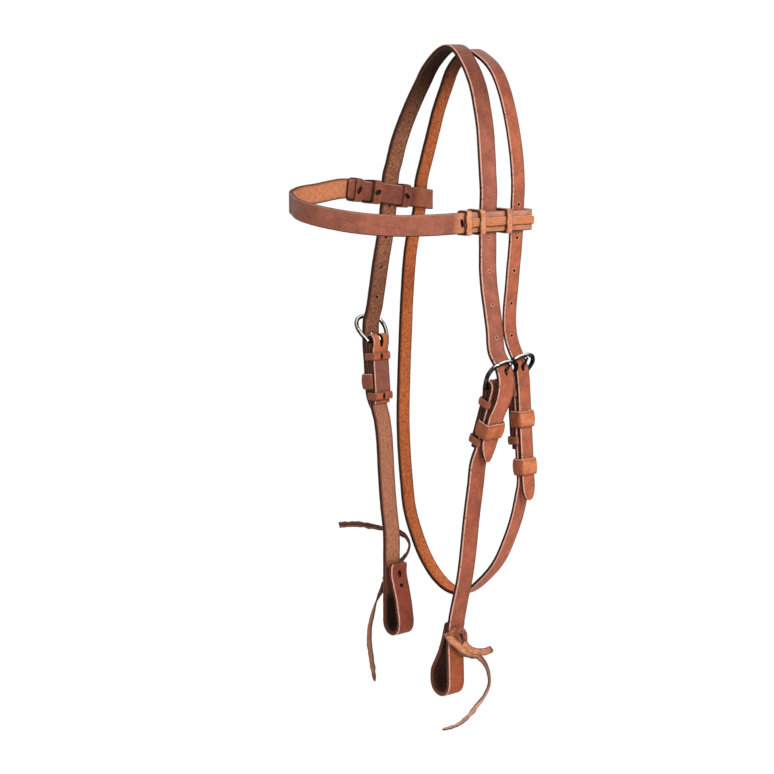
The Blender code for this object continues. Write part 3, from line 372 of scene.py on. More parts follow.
def distances(points):
    run = [0.0]
    for a, b in zip(points, points[1:]):
        run.append(run[-1] + (b - a).length)
    return run


def along(points, run, distance):
    i = min(max(bisect.bisect_left(run, distance), 1), len(points) - 1)
    return points[i - 1].lerp(points[i], (distance - run[i - 1]) / (run[i] - run[i - 1]))


# Ends seen flat: how far from the tip, and half the width there, both as shares
pointShares = ((0.0, 0.12), (0.04, 0.22), (0.1, 0.33), (0.2, 0.46), (0.35, 0.61), (0.5, 0.74), (0.68, 0.87),
               (0.85, 0.95), (1.0, 1.0))
roundShares = ((0.0, 0.22), (0.04, 0.36), (0.1, 0.49), (0.2, 0.63), (0.35, 0.78), (0.5, 0.87), (0.65, 0.94),
               (0.82, 0.98), (1.0, 1.0))
cutShares = ((0.0, 0.84), (0.35, 0.94), (1.0, 1.0))
plainEnds = (None, None)
cutEnd = (0.0025, cutShares)


def tipShare(distance, tip):
    if tip is None or distance >= tip[0]:
        return 1.0
    share = distance / tip[0]
    (d0, s0), (d1, s1) = next(pair for pair in zip(tip[1], tip[1][1:]) if share <= pair[1][0])
    return s0 + (s1 - s0) * (share - d0) / (d1 - d0)


def bandProfile(width, thick, corner, crown=0.0, faceSteps=8):
    # Round the band: outer face, one edge, inner face, other edge, each with its share of the wrap map
    half, deep = width / 2 - corner, thick / 2 - corner
    spots = []
    for sign, share in ((1, 0.0), (-1, 0.5)):
        for i in range(faceSteps):
            x = 2 * half * i / faceSteps - half
            swell = crown * (1 - (x / half) ** 2) if sign > 0 else 0.0
            spots.append((sign * x, sign * thick / 2 + swell, share + 0.4 * i / faceSteps))
        for degrees, middle, step in ((90, 1, 0.0), (60, 1, 0.125), (30, 1, 0.25), (0, 1, 0.375), (0, -1, 0.625),
                                      (-30, -1, 0.75), (-60, -1, 0.875)):
            turn = math.radians(degrees)
            spots.append((sign * (half + corner * math.cos(turn)), sign * (middle * deep + corner * math.sin(turn)),
                          share + 0.4 + 0.1 * step))
    return spots


def linked(name, mesh):
    piece = bpy.data.objects.new(name, mesh)
    scene.collection.objects.link(piece)
    return piece


def pieceFrom(form, name, finish):
    mesh = bpy.data.meshes.new(name)
    form.to_mesh(mesh)
    form.free()
    mesh.materials.append(finish)
    return linked(name, mesh)


# How quickly a hand-cut edge and face vary, in waves for each metre
uneven = {"fray": 210, "lengthways": 60, "across": 90}
# How an end rounds over: place along it and how far its rim draws in, as shares of the corner
roundOver = ((0.0, 0.9), (0.3, 0.35), (1.0, 0.0))
sweepStep = {"tipParts": 14, "ahead": 0.0006, "clear": 1.2}


def sweepBand(name, points, profile, across, finish, outward=1, closed=False, tips=plainEnds, sizes=None,
              rough=(0.0, 0.0), seed=0.0, corner=0.0005):
    # Lays the profile along the points. across is a direction, or a function of a share of the length and a heading
    track = points + points[:1] if closed else points
    run = distances(track)
    total = run[-1]
    if closed:
        stops = [(distance, 0.0) for distance in run[:-1]]
    else:
        cuts = set(run)
        for tip, start, sign in ((tips[0], 0.0, 1), (tips[1], total, -1)):
            if tip:
                parts = sweepStep["tipParts"]
                cuts.update(start + sign * tip[0] * step / parts for step in range(1, parts + 1))
        clear = corner * sweepStep["clear"]
        stops = [(corner * way, corner * inset) for way, inset in roundOver]
        stops += [(distance, 0.0) for distance in sorted(cuts) if clear < distance < total - clear]
        stops += [(total - corner * way, corner * inset) for way, inset in reversed(roundOver)]
    form = bmesh.new()
    wrap = form.loops.layers.uv.new("wrap")
    half = abs(profile[0][0])
    rings = []
    for distance, inset in stops:
        place = along(track, run, distance)
        ahead, behind = distance + sweepStep["ahead"], distance - sweepStep["ahead"]
        if closed:
            ahead, behind = ahead % total, behind % total
        way = (along(track, run, ahead) - along(track, run, behind)).normalized()
        side = across(distance / total, way) if callable(across) else across
        out = side.cross(way).normalized() * outward
        side = (side - way * side.dot(way)).normalized()
        share = min(tipShare(distance, tips[0]), tipShare(total - distance, tips[1]))
        share *= sizes(distance / total) if sizes else 1.0
        ring = []
        for x, y, around in profile:
            fray = noise.noise(Vector((distance * uneven["fray"], seed, math.copysign(4.0, x)))) * rough[1]
            x = math.copysign(max(abs(x) - inset, 0.0), x) * share + fray * x / half
            y = math.copysign(max(abs(y) - inset, 0.0), y)
            shift = noise.noise(Vector((distance * uneven["lengthways"] + seed, x * uneven["across"], seed))) * rough[0]
            ring.append(form.verts.new(place + side * x + out * (y + shift)))
        rings.append((ring, distance))
    size = len(profile)
    pairs = list(zip(rings, rings[1:])) + ([(rings[-1], (rings[0][0], total))] if closed else [])
    for (a, start), (b, end) in pairs:
        for k in range(size):
            n = (k + 1) % size
            face = form.faces.new((a[k], a[n], b[n], b[k]))
            u0, u1 = profile[k][2], profile[n][2] if n else 1.0
            for loop, spot in zip(face.loops, ((u0, start), (u1, start), (u1, end), (u0, end))):
                loop[wrap].uv = spot
            face.smooth = True
    if not closed:
        for ring, distance in (rings[0], rings[-1]):
            for loop in form.faces.new(ring).loops:
                loop[wrap].uv = (0.45, distance)
    bmesh.ops.recalc_face_normals(form, faces=form.faces)
    return pieceFrom(form, name, finish)


def settledMesh(piece):
    return bpy.data.meshes.new_from_object(piece.evaluated_get(bpy.context.evaluated_depsgraph_get()))


def settle(piece):
    # The piece as its modifiers leave it, as a plain mesh
    mesh = settledMesh(piece)
    mesh.name = piece.name
    piece.modifiers.clear()
    piece.data = mesh
    return piece


def cutWith(piece, pegs):
    for peg in pegs:
        bite = piece.modifiers.new("cut", "BOOLEAN")
        bite.operation = "DIFFERENCE"
        bite.solver = "EXACT"
        bite.material_mode = "TRANSFER"
        bite.object = peg
    settle(piece)
    for peg in pegs:
        bpy.data.objects.remove(peg)
    piece.data.set_sharp_from_angle(angle=math.radians(48))


def belongs(piece, body, node):
    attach(piece, body)
    if node:
        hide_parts(node)


# Punched holes: pegs that cut them, and the pressed lip round each
def openTree(name, sockets):
    tree = bpy.data.node_groups.new(name, "GeometryNodeTree")
    tree.interface.new_socket("Geometry", in_out="INPUT", socket_type="NodeSocketGeometry")
    for label, kind in sockets:
        tree.interface.new_socket(label, in_out="INPUT", socket_type=kind)
    tree.interface.new_socket("Geometry", in_out="OUTPUT", socket_type="NodeSocketGeometry")
    return tree, tree.nodes.new("NodeGroupInput"), tree.nodes.new("NodeGroupOutput")


def standOnPlaces(tree, source, goal, shape):
    # One copy of the shape at each place, turned to the hole's own direction
    way = addNode(tree, "GeometryNodeInputNamedAttribute", {"data_type": "FLOAT_VECTOR"}, Name="way")
    turn = addNode(tree, "FunctionNodeAlignRotationToVector", {"axis": "Z"}, Vector=way.outputs[0])
    copies = addNode(tree, "GeometryNodeInstanceOnPoints", Points=source.outputs["Geometry"], Instance=shape,
                     Rotation=turn.outputs[0])
    real = addNode(tree, "GeometryNodeRealizeInstances", Geometry=copies.outputs[0])
    dressed = addNode(tree, "GeometryNodeSetMaterial", Geometry=real.outputs[0], Material=source.outputs["Finish"])
    tree.links.new(dressed.outputs[0], goal.inputs[0])


def punchTree():
    tree, source, goal = openTree("punchPegs", (("Radius", "NodeSocketFloat"), ("Depth", "NodeSocketFloat"),
                                                ("Finish", "NodeSocketMaterial")))
    peg = addNode(tree, "GeometryNodeMeshCylinder", Vertices=20, Radius=source.outputs["Radius"],
                  Depth=source.outputs["Depth"])
    standOnPlaces(tree, source, goal, peg.outputs["Mesh"])
    return tree


def lipTree():
    tree, source, goal = openTree("holeLips", (("Radius", "NodeSocketFloat"), ("Lip", "NodeSocketFloat"),
                                               ("Finish", "NodeSocketMaterial")))
    ring = addNode(tree, "GeometryNodeCurvePrimitiveCircle", Resolution=24, Radius=source.outputs["Radius"])
    section = addNode(tree, "GeometryNodeCurvePrimitiveCircle", Resolution=8, Radius=source.outputs["Lip"])
    tube = addNode(tree, "GeometryNodeCurveToMesh", Curve=ring.outputs[0])
    tree.links.new(section.outputs[0], tube.inputs["Profile Curve"])
    standOnPlaces(tree, source, goal, tube.outputs[0])
    return tree


punchPegs, holeLips = punchTree(), lipTree()


def grow(name, tree, holes, values):
    # Runs a tree on the holes' places
    mesh = bpy.data.meshes.new(name)
    mesh.from_pydata([tuple(middle) for middle, way in holes], [], [])
    ways = mesh.attributes.new("way", "FLOAT_VECTOR", "POINT")
    for spot, (middle, way) in zip(ways.data, holes):
        spot.vector = way
    piece = linked(name, mesh)
    tool = piece.modifiers.new("repeat", "NODES")
    tool.node_group = tree
    for item in tree.interface.items_tree:
        if item.item_type == "SOCKET" and item.in_out == "INPUT" and item.name in values:
            tool[item.identifier] = values[item.name]
    settle(piece)
    for attribute in [a for a in piece.data.attributes if a.name == "way"]:
        piece.data.attributes.remove(attribute)
    return piece


def punch(name, holes, radius):
    return grow(name, punchPegs, holes, {"Radius": radius, "Depth": 0.010, "Finish": cutLeather})


# Lays a peg, or what stands along Z, along X
layDown = Matrix.Rotation(math.pi / 2, 4, "Y")


def slotPeg(name, place, width, height, depth):
    # An oval peg: width and height along the place's X and Y, depth along its Z
    form = bmesh.new()
    bmesh.ops.create_cone(form, cap_ends=True, segments=20, radius1=0.5, radius2=0.5, depth=depth)
    for vert in form.verts:
        vert.co = place @ Vector((vert.co.x * width, vert.co.y * height, vert.co.z))
    return pieceFrom(form, name, cutLeather)


# Buckles: heel bar, which side, how the strap leans, how the frame is raked on it, how tall its tongue's hole is
buckles = {
    "near_cheek": {"bar": (0.0673, -0.0185, -0.2532), "side": 1, "lean": 19.0, "rake": 14.0, "height": 0.0240,
                   "leather": "crown", "hole": 0.0046},
    "off_cheek": {"bar": (-0.0730, -0.0185, -0.2340), "side": -1, "lean": 5.5, "rake": 34.0, "height": 0.0240,
                  "leather": "crown", "hole": 0.0046},
    "throatlatch": {"bar": (0.0603, 0.0095, -0.2490), "side": 1, "lean": -5.0, "rake": 36.0, "height": 0.0200,
                    "leather": "throat", "hole": 0.0040}}
holeGrid = {"pitch": 0.0254, "ahead": 0.0016, "tongueWidth": 0.0031, "tongueShare": 0.9}
wireSize = {"frame": 0.0034, "tongue": 0.0024, "bulge": 0.0040}
laceSize = {"width": 0.0062, "thick": 0.0012, "round": 0.0004, "crown": 0.0003, "rough": (0.00025, 0.0005)}
browLaceSize = dict(laceSize, width=0.0060, rough=(0.0003, 0.0006))
keeperSize = {"width": 0.0130, "thick": 0.0015, "round": 0.0005, "crown": 0.0008, "rough": (0.00015, 0.0002)}


def seatOf(buckle):
    # Axes at the heel bar: out from the horse, across the strap, and up along the cheek
    lean, side = math.radians(buckle["lean"]), buckle["side"]
    out = Vector((side * math.cos(lean), 0.0, -math.sin(lean)))
    up = Vector((side * math.sin(lean), 0.0, math.cos(lean)))
    seat = Matrix((out, up.cross(out), up)).transposed().to_4x4()
    seat.translation = buckle["bar"]
    return seat


def layersOf(thick):
    main = wireSize["frame"] / 2 + gap + thick / 2
    return {"main": main,
            "open": main - thick - keeperSize["thick"] - 2 * gap,
            "shut": main - thick - gap,
            "billet": main + thick + laceSize["thick"] + 2 * gap}


def turnedBack(thick, length):
    # The chape from its inner end up, over the bar and down the outer side
    lie = layersOf(thick)
    places = [(lie["shut"], -length), (lie["shut"], -0.87 * length), (lie["open"], -0.78 * length)]
    places += [(lie["open"], -share * length) for share in (0.765, 0.5, 0.19, 0.16)]
    for degrees in range(180, -1, -30):
        turn = math.radians(degrees)
        places.append((lie["main"] * math.cos(turn), lie["main"] * math.sin(turn)))
    return places + [(lie["main"], -share * length) for share in (0.15, 0.5, 0.94, 1.0)]


def billetPlaces(thick, length, height, falls, rises):
    lie = layersOf(thick)["billet"]
    return [(out * lie, -fall * length) for out, fall in falls] + [(out * lie, up * height) for out, up in rises]


def placed(seat, pairs):
    return [seat @ Vector((u, 0.0, w)) for u, w in pairs]


def tongueEnds(buckle):
    # Where the tongue leaves the bar, and its tip on the rim, in the raked seat
    reach = (wireSize["frame"] + wireSize["tongue"]) / 2 + gap
    rest = math.asin(reach / buckle["height"])
    root = wireSize["frame"] / 2 + gap + wireSize["tongue"] / 2
    shank = math.hypot(buckle["height"], reach) + wireSize["tongue"] / 2
    leave = math.pi / 2 - rest - math.acos(root / shank)
    start = Vector((root * math.cos(leave), 0.0, root * math.sin(leave)))
    return start, Vector((shank * math.sin(rest), 0.0, shank * math.cos(rest))), root, leave


def rakedSeat(buckle):
    return seatOf(buckle) @ Matrix.Rotation(math.radians(buckle["rake"]), 4, "Y")


def tonguePlaces(buckle):
    turn = rakedSeat(buckle)
    return [turn @ end for end in tongueEnds(buckle)[:2]]


def holeRow(points, buckle, count, shift, forwards):
    root, tip = tonguePlaces(buckle)
    target = root.lerp(tip, 0.5)
    run = distances(points)
    nearest = min(range(len(points)), key=lambda i: (points[i] - target).length)
    holes = []
    for number in range(1, count + 1):
        up = number * holeGrid["pitch"] + shift
        distance = run[nearest] + (up if forwards else -up)
        middle = along(points, run, distance)
        way = along(points, run, distance + holeGrid["ahead"]) - middle
        holes.append((middle, way.cross(aft).normalized()))
    return holes


def tongueHole(name, buckle):
    root, tip = tonguePlaces(buckle)
    way = tip - root
    place = Matrix.Translation(root.lerp(tip, 0.5)) @ way.to_track_quat("Z", "Y").to_matrix().to_4x4()
    return slotPeg(name, place, holeGrid["tongueWidth"], buckle["hole"], way.length * holeGrid["tongueShare"])


strapEdge = {"round": 0.0007, "rough": (0.00012, 0.00012)}


def bandOn(name, points, leather, finish, across, outward, **more):
    profile = bandProfile(*leathers[leather], strapEdge["round"])
    return sweepBand(name, points, profile, across, finish, outward=outward, rough=strapEdge["rough"],
                     corner=strapEdge["round"], **more)


# The crown strap, over the poll from one cheek buckle to the other
crown = {"drop": 0.2500, "forward": 0.0170, "nearSpread": 0.0560, "offSpread": 0.0620, "billet": 0.0600,
         "tip": (0.0170, pointShares), "holes": 4, "nearShift": 0.0057, "offShift": 0.0025,
         "nearHoleRadius": 0.0006, "offHoleRadius": 0.00115, "nearLip": 0.0015, "offLip": 0.00145}
nearCrownShares = ((0.292, 0.05, 0.046), (0.478, 0.15, 0.102), (0.671, 0.39, 0.182), (0.786, 0.565, 0.24),
                   (0.868, 0.735, 0.292), (0.956, 0.91, 0.37), (1.0, 0.98, 0.43), (1.0, 1.0, 0.47),
                   (1.0, 1.0, 0.60), (1.005, 1.0, 0.66), (1.154, 1.02, 0.84))
offCrownShares = ((0.436, 0.05, 0.048), (0.587, 0.15, 0.106), (0.736, 0.42, 0.19), (0.826, 0.605, 0.252),
                  (0.889, 0.745, 0.308), (0.94, 0.80, 0.356), (0.981, 0.85, 0.392), (0.994, 0.88, 0.424),
                  (0.998, 0.91, 0.456), (1.014, 0.96, 0.52), (1.058, 1.01, 0.60), (1.114, 1.03, 0.66),
                  (1.219, 1.04, 0.784), (1.26, 1.05, 0.832))
# Billets: how far out and down below the bar, then how far out and up in the buckle
nearBilletShares = (((1.32, 1.0), (1.12, 0.85), (1.0, 0.74), (1.0, 0.70), (1.0, 0.42), (1.0, 0.38), (1.16, 0.24),
                     (1.30, 0.10)), ((1.24, 0.12), (0.96, 0.45), (0.28, 0.75), (-0.72, 1.0)))
offBilletShares = (((1.0, 1.0), (1.0, 0.8), (1.0, 0.3), (1.0, 0.0)), ((0.93, 0.3), (0.78, 0.65)))
lipSize = {"lift": 0.00012, "round": 0.00032}


def stretched(shares, width, depth, height):
    return [Vector((x * width, y * depth, z * height)) for x, y, z in shares]


def lipsFor(name, holes, side, thick, radius):
    # Lips stand on the grain face, which looks away from the horse
    spots = [(middle + Vector((side, 0.0, 0.0)) * (thick / 2 + lipSize["lift"]), way) for middle, way in holes]
    lips = grow(name, holeLips, spots, {"Radius": radius, "Lip": lipSize["round"], "Finish": lipLeather})
    belongs(lips, "headstall", None)


def makeCrown():
    near, off = buckles["near_cheek"], buckles["off_cheek"]
    thick = leathers["crown"][1]
    places = placed(seatOf(near), billetPlaces(thick, crown["billet"], near["height"], *nearBilletShares))
    places += stretched(reversed(nearCrownShares), crown["nearSpread"], -crown["forward"], -crown["drop"])
    places.append(Vector((0.0, 0.0, thick / 2)))
    places += stretched(offCrownShares, -crown["offSpread"], -crown["forward"], -crown["drop"])
    places += reversed(placed(seatOf(off), billetPlaces(thick, crown["billet"], off["height"], *offBilletShares)))
    points = smoothRoute(places)
    piece = bandOn("crownLeather", points, "crown", finishes["crown"], aft, 1, tips=(crown["tip"],) * 2, seed=1.0)
    nearHoles = holeRow(points, near, crown["holes"], crown["nearShift"], True)
    offHoles = holeRow(points, off, crown["holes"], crown["offShift"], False)
    cutWith(piece, [punch("nearPegs", nearHoles, crown["nearHoleRadius"]),
                    punch("offPegs", offHoles, crown["offHoleRadius"]),
                    tongueHole("nearTonguePeg", near), tongueHole("offTonguePeg", off)])
    belongs(piece, "headstall", "crown_strap")
    lipsFor("nearHoleLips", nearHoles, 1, thick, crown["nearLip"])
    lipsFor("offHoleLips", offHoles, -1, thick, crown["offLip"])


makeCrown()
print("crown strap made")

# The throatlatch, over the poll behind the crown, under the throat and up to its buckle
throat = {"back": 0.0167, "sink": 0.0028, "lowY": 0.0095, "drop": 0.4370, "billet": 0.0970, "turnback": 0.0570,
          "lowerLace": 0.0500, "keeper": 0.0332, "slider": 0.0705, "tip": (0.0130, roundShares), "holes": 5,
          "shift": 0.0022, "holeRadius": 0.0012, "lip": 0.0017}
throatBilletShares = (((1.0, 1.0), (1.0, 0.86), (1.0, 0.3), (1.0, 0.1), (0.97, 0.0)),
                      ((0.93, 0.2), (0.74, 0.45), (0.24, 0.85), (-0.22, 1.28)))
nearThroatShares = ((0.25, 1.0, 0.025), (0.52, 0.95, 0.068), (0.65, 0.93, 0.112), (0.782, 0.91, 0.18),
                    (0.873, 0.89, 0.244), (0.978, 0.86, 0.36), (1.0, 0.845, 0.42), (1.0, 0.82, 0.46),
                    (1.0, 0.69, 0.61), (0.985, 0.59, 0.70))
offThroatShares = ((0.16, 1.0, 0.018), (0.345, 0.99, 0.058), (0.475, 0.965, 0.12), (0.615, 0.95, 0.192),
                   (0.72, 0.985, 0.256), (0.82, 1.04, 0.312), (0.894, 1.085, 0.354), (0.96, 1.105, 0.392),
                   (0.987, 1.09, 0.416), (0.997, 1.075, 0.436), (1.002, 1.06, 0.472), (1.014, 1.01, 0.52),
                   (1.05, 0.77, 0.592))
sweepShares = ((-1.109, 0.453), (-1.145, 0.54), (-1.174, 0.618), (-1.184, 0.705), (-1.115, 0.811), (-1.05, 0.864),
               (-0.887, 0.915), (-0.677, 0.957), (-0.45, 0.984), (-0.20, 0.998), (0.1, 0.995), (0.25, 0.984),
               (0.477, 0.96), (0.784, 0.918), (0.984, 0.872), (1.161, 0.816), (1.225, 0.783))


# Slots that the tongues' coils sit in, over the bars: width and depth. The throatlatch's stops short of its billet
barSlots = {"throat": (0.0135, 0.0118), "cheek": (0.0145, 0.024), "rise": 0.0015, "height": 0.0040}


def barSlot(name, seat, kind):
    width, depth = barSlots[kind]
    place = seat @ Matrix.Translation((0.0, 0.0, barSlots["rise"])) @ layDown
    return slotPeg(name, place, width, barSlots["height"], depth)


def makeThroatlatch():
    buckle = buckles["throatlatch"]
    seat = seatOf(buckle)
    thick = leathers["throat"][1]
    places = placed(seat, billetPlaces(thick, throat["billet"], buckle["height"], *throatBilletShares))
    places += stretched(reversed(nearThroatShares), crown["nearSpread"], throat["back"], -crown["drop"])
    places.append(Vector((0.0, throat["back"], thick / 2 - throat["sink"])))
    places += stretched(offThroatShares, -crown["offSpread"], throat["back"], -crown["drop"])
    for out, fall in sweepShares:
        spread = crown["nearSpread"] if out > 0 else crown["offSpread"]
        places.append(Vector((out * spread, throat["lowY"], -fall * throat["drop"])))
    main = layersOf(thick)["main"]
    chape = turnedBack(thick, throat["turnback"])
    chape += [(main, -throat["slider"] - keeperSize["width"] * share) for share in (0.2, 0.9)]
    places += reversed(placed(seat, chape))
    points = smoothRoute(places)
    piece = bandOn("throatlatchLeather", points, "throat", finishes["throat"], aft, 1, tips=(throat["tip"], None),
                   seed=4.0)
    holes = holeRow(points, buckle, throat["holes"], throat["shift"], True)
    cutWith(piece, [punch("throatPegs", holes, throat["holeRadius"]), tongueHole("throatTonguePeg", buckle),
                    barSlot("throatSlotPeg", seat, "throat")])
    belongs(piece, "headstall", "throatlatch_strap")
    lipsFor("throatHoleLips", holes, 1, thick, throat["lip"])


makeThroatlatch()
print("throatlatch made")

# The cheeks, each with a bit loop at its foot
cheeks = {
    "near_cheek": {"finish": "nearCheek", "loopX": 0.0335, "foot": 0.5075, "depth": 0.0235, "topGap": 0.0003,
                   "skew": 0.0024, "flare": 1.3, "sag": 0.0013,
                   "fall": ((1.53, 0.24), (1.47, 0.303), (1.375, 0.40), (1.165, 0.632), (1.02, 0.711)),
                   "inner": ((1.0, 0.21), (0.98, 0.30), (0.70, 0.46), (0.44, 0.60), (0.22, 0.76))},
    "off_cheek": {"finish": "offCheek", "loopX": 0.0458, "foot": 0.4730, "depth": 0.0212, "topGap": 0.0055,
                  "skew": 0.0, "flare": 1.05, "sag": 0.0,
                  "fall": ((1.404, 0.275), (1.36, 0.31), (1.245, 0.472), (1.165, 0.569), (1.075, 0.655)),
                  "inner": ((1.0, 0.21), (0.84, 0.36), (0.58, 0.54), (0.24, 0.70), (-0.04, 0.84))}}
cheekSizes = {"turnback": 0.0520, "loopY": -0.0265, "loopHeight": 0.0600, "lowHole": 0.0420, "highHole": 0.0510,
              "upperLace": 0.0130, "keeper": 0.0335, "lowerLace": 0.0455, "skewFrom": 0.3, "flareFrom": 0.0300,
              "lowHoleRadius": 0.0016, "highHoleWidth": 0.0058, "highHoleHeight": 0.0040, "through": 0.05}


def innerPlaces(cheek, side):
    # The loop's inner layer, from its belly to its top, turned a little backwards as it rises
    thick = leathers["crown"][1]
    belly, top = cheek["depth"] - thick, thick + cheek["topGap"]
    places = []
    for out, up in (*cheek["inner"], (0.0, 1.0)):
        turned = max(0.0, (up - cheekSizes["skewFrom"]) / (1 - cheekSizes["skewFrom"])) ** 2
        places.append(Vector((side * (cheek["loopX"] - top - (belly - top) * out),
                              cheekSizes["loopY"] + cheek["skew"] * turned,
                              cheekSizes["loopHeight"] * up - cheek["foot"])))
    return places


def loopPlaces(cheek, side):
    x, y, foot = side * cheek["loopX"], cheekSizes["loopY"], cheek["foot"]
    radius = (cheek["depth"] - leathers["crown"][1]) / 2
    low = -foot + leathers["crown"][1] / 2 + radius - cheek["sag"]
    places = [Vector((x, y, cheekSizes["loopHeight"] - foot)), Vector((x, y, low + radius / 2))]
    for degrees in range(0, -181, -30):
        turn = math.radians(degrees)
        places.append(Vector((x + side * (math.cos(turn) - 1) * radius, y, low + radius * math.sin(turn))))
    return places + innerPlaces(cheek, side)


def makeCheek(name):
    buckle, cheek = buckles[name], cheeks[name]
    side, seat, thick = buckle["side"], seatOf(buckle), leathers["crown"][1]
    bar = Vector(buckle["bar"])
    places = placed(seat, turnedBack(thick, cheekSizes["turnback"]))
    for out, fall in cheek["fall"]:
        places.append(Vector((side * cheek["loopX"] * out, bar.y + (cheekSizes["loopY"] - bar.y) * fall,
                              bar.z + (-cheek["foot"] - bar.z) * fall)))
    points = smoothRoute(places + loopPlaces(cheek, side))
    length = distances(points)[-1]

    def flared(share):
        # Wider over the last stretch before the inner end
        return 1 + (cheek["flare"] - 1) * max(0.0, 1 - (1 - share) * length / cheekSizes["flareFrom"])

    piece = bandOn(name + "Leather", points, "crown", finishes[cheek["finish"]], aft, -side, tips=(None, cutEnd),
                   seed=7.0 + side, sizes=flared)
    # The low hole is punched and the high one is torn long
    middle = Vector((side * (cheek["loopX"] - cheek["depth"] / 2), cheekSizes["loopY"],
                     cheekSizes["lowHole"] - cheek["foot"]))
    low = grow(name + "Pegs", punchPegs, [(middle, Vector((1.0, 0.0, 0.0)))],
               {"Radius": cheekSizes["lowHoleRadius"], "Depth": cheekSizes["through"], "Finish": cutLeather})
    high = Matrix.Translation((side * cheek["loopX"], cheekSizes["loopY"], cheekSizes["highHole"] - cheek["foot"]))
    torn = slotPeg(name + "HighPeg", high @ layDown, cheekSizes["highHoleWidth"], cheekSizes["highHoleHeight"],
                   cheekSizes["through"])
    cutWith(piece, [low, torn, barSlot(name + "SlotPeg", seat, "cheek")])
    belongs(piece, "headstall", name)


for name in cheeks:
    makeCheek(name)
print("cheeks made")


# Wraps of lace, and keepers, round the layers
def boxRing(low, high, corner, steps=6, longest=0.0010):
    # Points round the box from low to high, with round corners
    ring = []
    corners = ((high[0], high[1], -1, -1), (low[0], high[1], 1, -1), (low[0], low[1], 1, 1), (high[0], low[1], -1, 1))
    for number, (x, y, right, up) in enumerate(corners):
        centre = Vector((x, y)) + Vector((right, up)) * corner
        for step in range(steps + 1):
            turn = math.radians(90 * number + 90 / steps * step)
            ring.append(centre + Vector((math.cos(turn), math.sin(turn))) * corner)
    full = []
    for a, b in zip(ring, ring[1:] + ring[:1]):
        parts = max(1, math.ceil((b - a).length / longest))
        full += [a.lerp(b, step / parts) for step in range(parts)]
    return full


# slit: where it lies across the wrap, its length, width and slant. A thin dark sheet of cut leather lies under it as
# painted shade, so the slit looks dark
wrapSize = {"corner": 0.0011, "waves": 300, "slitDepth": 0.003, "shadeSheetWider": 1.1, "shadeSheetShare": 0.8}
chapeSlit = (0.0008, 0.0052, 0.0028, 8.0)


def wrapRound(name, seat, low, high, size, finish, body, node, seed=0.0, slit=None):
    half = size["thick"] / 2
    low, high = (low[0] - half, low[1] - half), (high[0] + half, high[1] + half)
    points = []
    waves = wrapSize["waves"]
    for spot in boxRing(low, high, wrapSize["corner"] + half):
        drift = noise.noise(Vector((spot.x * waves, spot.y * waves, seed))) * size["rough"][1]
        points.append(seat @ Vector((spot.x, spot.y, drift)))
    across = (seat.to_3x3() @ Vector((0.0, 0.0, 1.0))).normalized()
    profile = bandProfile(size["width"], size["thick"], size["round"], size["crown"])
    piece = sweepBand(name, points, profile, across, finish, outward=-1, closed=True, rough=size["rough"], seed=seed)
    if slit:
        x, y, tall, wide, slant = slit
        turn = layDown @ Matrix.Rotation(math.radians(slant), 4, "Z")
        place = seat @ Matrix.Translation((x, y, 0.0)) @ turn
        cutWith(piece, [slotPeg(name + "Slit", place, tall, wide, wrapSize["slitDepth"])])
        # Painted shade: a thin dark sheet under the slit
        inwards = math.copysign((size["thick"] + gap) / 2, (low[0] + high[0]) / 2 - x)
        place = seat @ Matrix.Translation((x + inwards, y, 0.0)) @ turn
        wider = wrapSize["shadeSheetWider"]
        paintedShadeSheet = slotPeg(name + "ShadeSheet", place, tall * wider, wide * wider, gap * wrapSize["shadeSheetShare"])
        belongs(paintedShadeSheet, body, None)
    belongs(piece, body, node)


def dressChape(name, lower, keeperDrop):
    buckle = buckles[name]
    width, thick = leathers[buckle["leather"]]
    seat, lie, edge = seatOf(buckle), layersOf(thick), width / 2 + gap
    inner, outer = lie["open"] - thick / 2 - gap, lie["main"] + thick / 2 + gap
    for label, drop in (("upper", cheekSizes["upperLace"]), ("lower", lower)):
        at = seat @ Matrix.Translation((0.0, 0.0, -drop))
        wrapRound("%sLace_%s" % (label, name), at, (inner, -edge), (outer, edge), laceSize, finishes["lace"],
                  "headstall", "%s_%s_lace" % (name, label), seed=drop * 900,
                  slit=(inner - laceSize["thick"] / 2, *chapeSlit))
    for label, drop in keeperDrop.items():
        at = seat @ Matrix.Translation((0.0, 0.0, -drop))
        wrapRound("keeper_" + label, at, (lie["main"] - thick / 2 - gap, -edge),
                  (lie["billet"] + thick / 2 + gap, edge), keeperSize, finishes["keeper"], label + "_body",
                  label, seed=drop * 500)


for name in cheeks:
    dressChape(name, cheekSizes["lowerLace"], {name + "_keeper": cheekSizes["keeper"]})
dressChape("throatlatch", throat["lowerLace"], {"throatlatch_upper_keeper": throat["keeper"],
                                                "throatlatch_lower_keeper": throat["slider"]})
print("chapes dressed")


# Buckle frames and tongues, of round wire
def wirePiece(name, points, radius, closed, sizes=None):
    curve = bpy.data.curves.new(name, "CURVE")
    curve.dimensions = "3D"
    curve.bevel_depth = radius
    curve.bevel_resolution = 5
    curve.use_fill_caps = not closed
    spline = curve.splines.new("POLY")
    spline.points.add(len(points) - 1)
    for i, (point, place) in enumerate(zip(spline.points, points)):
        point.co = (*place, 1.0)
        point.radius = sizes(i / (len(points) - 1)) if sizes else 1.0
    spline.use_cyclic_u = closed
    guide = linked(name + "Guide", curve)
    mesh = settledMesh(guide)
    bpy.data.objects.remove(guide)
    form = bmesh.new()
    form.from_mesh(mesh)
    bmesh.ops.remove_doubles(form, verts=form.verts, dist=1e-6)
    bmesh.ops.recalc_face_normals(form, faces=form.faces)
    for face in form.faces:
        face.smooth = True
    form.to_mesh(mesh)
    form.free()
    mesh.name = name
    mesh.set_sharp_from_angle(angle=math.radians(50))
    mesh.materials.clear()
    mesh.materials.append(buckleSteel)
    return linked(name, mesh)


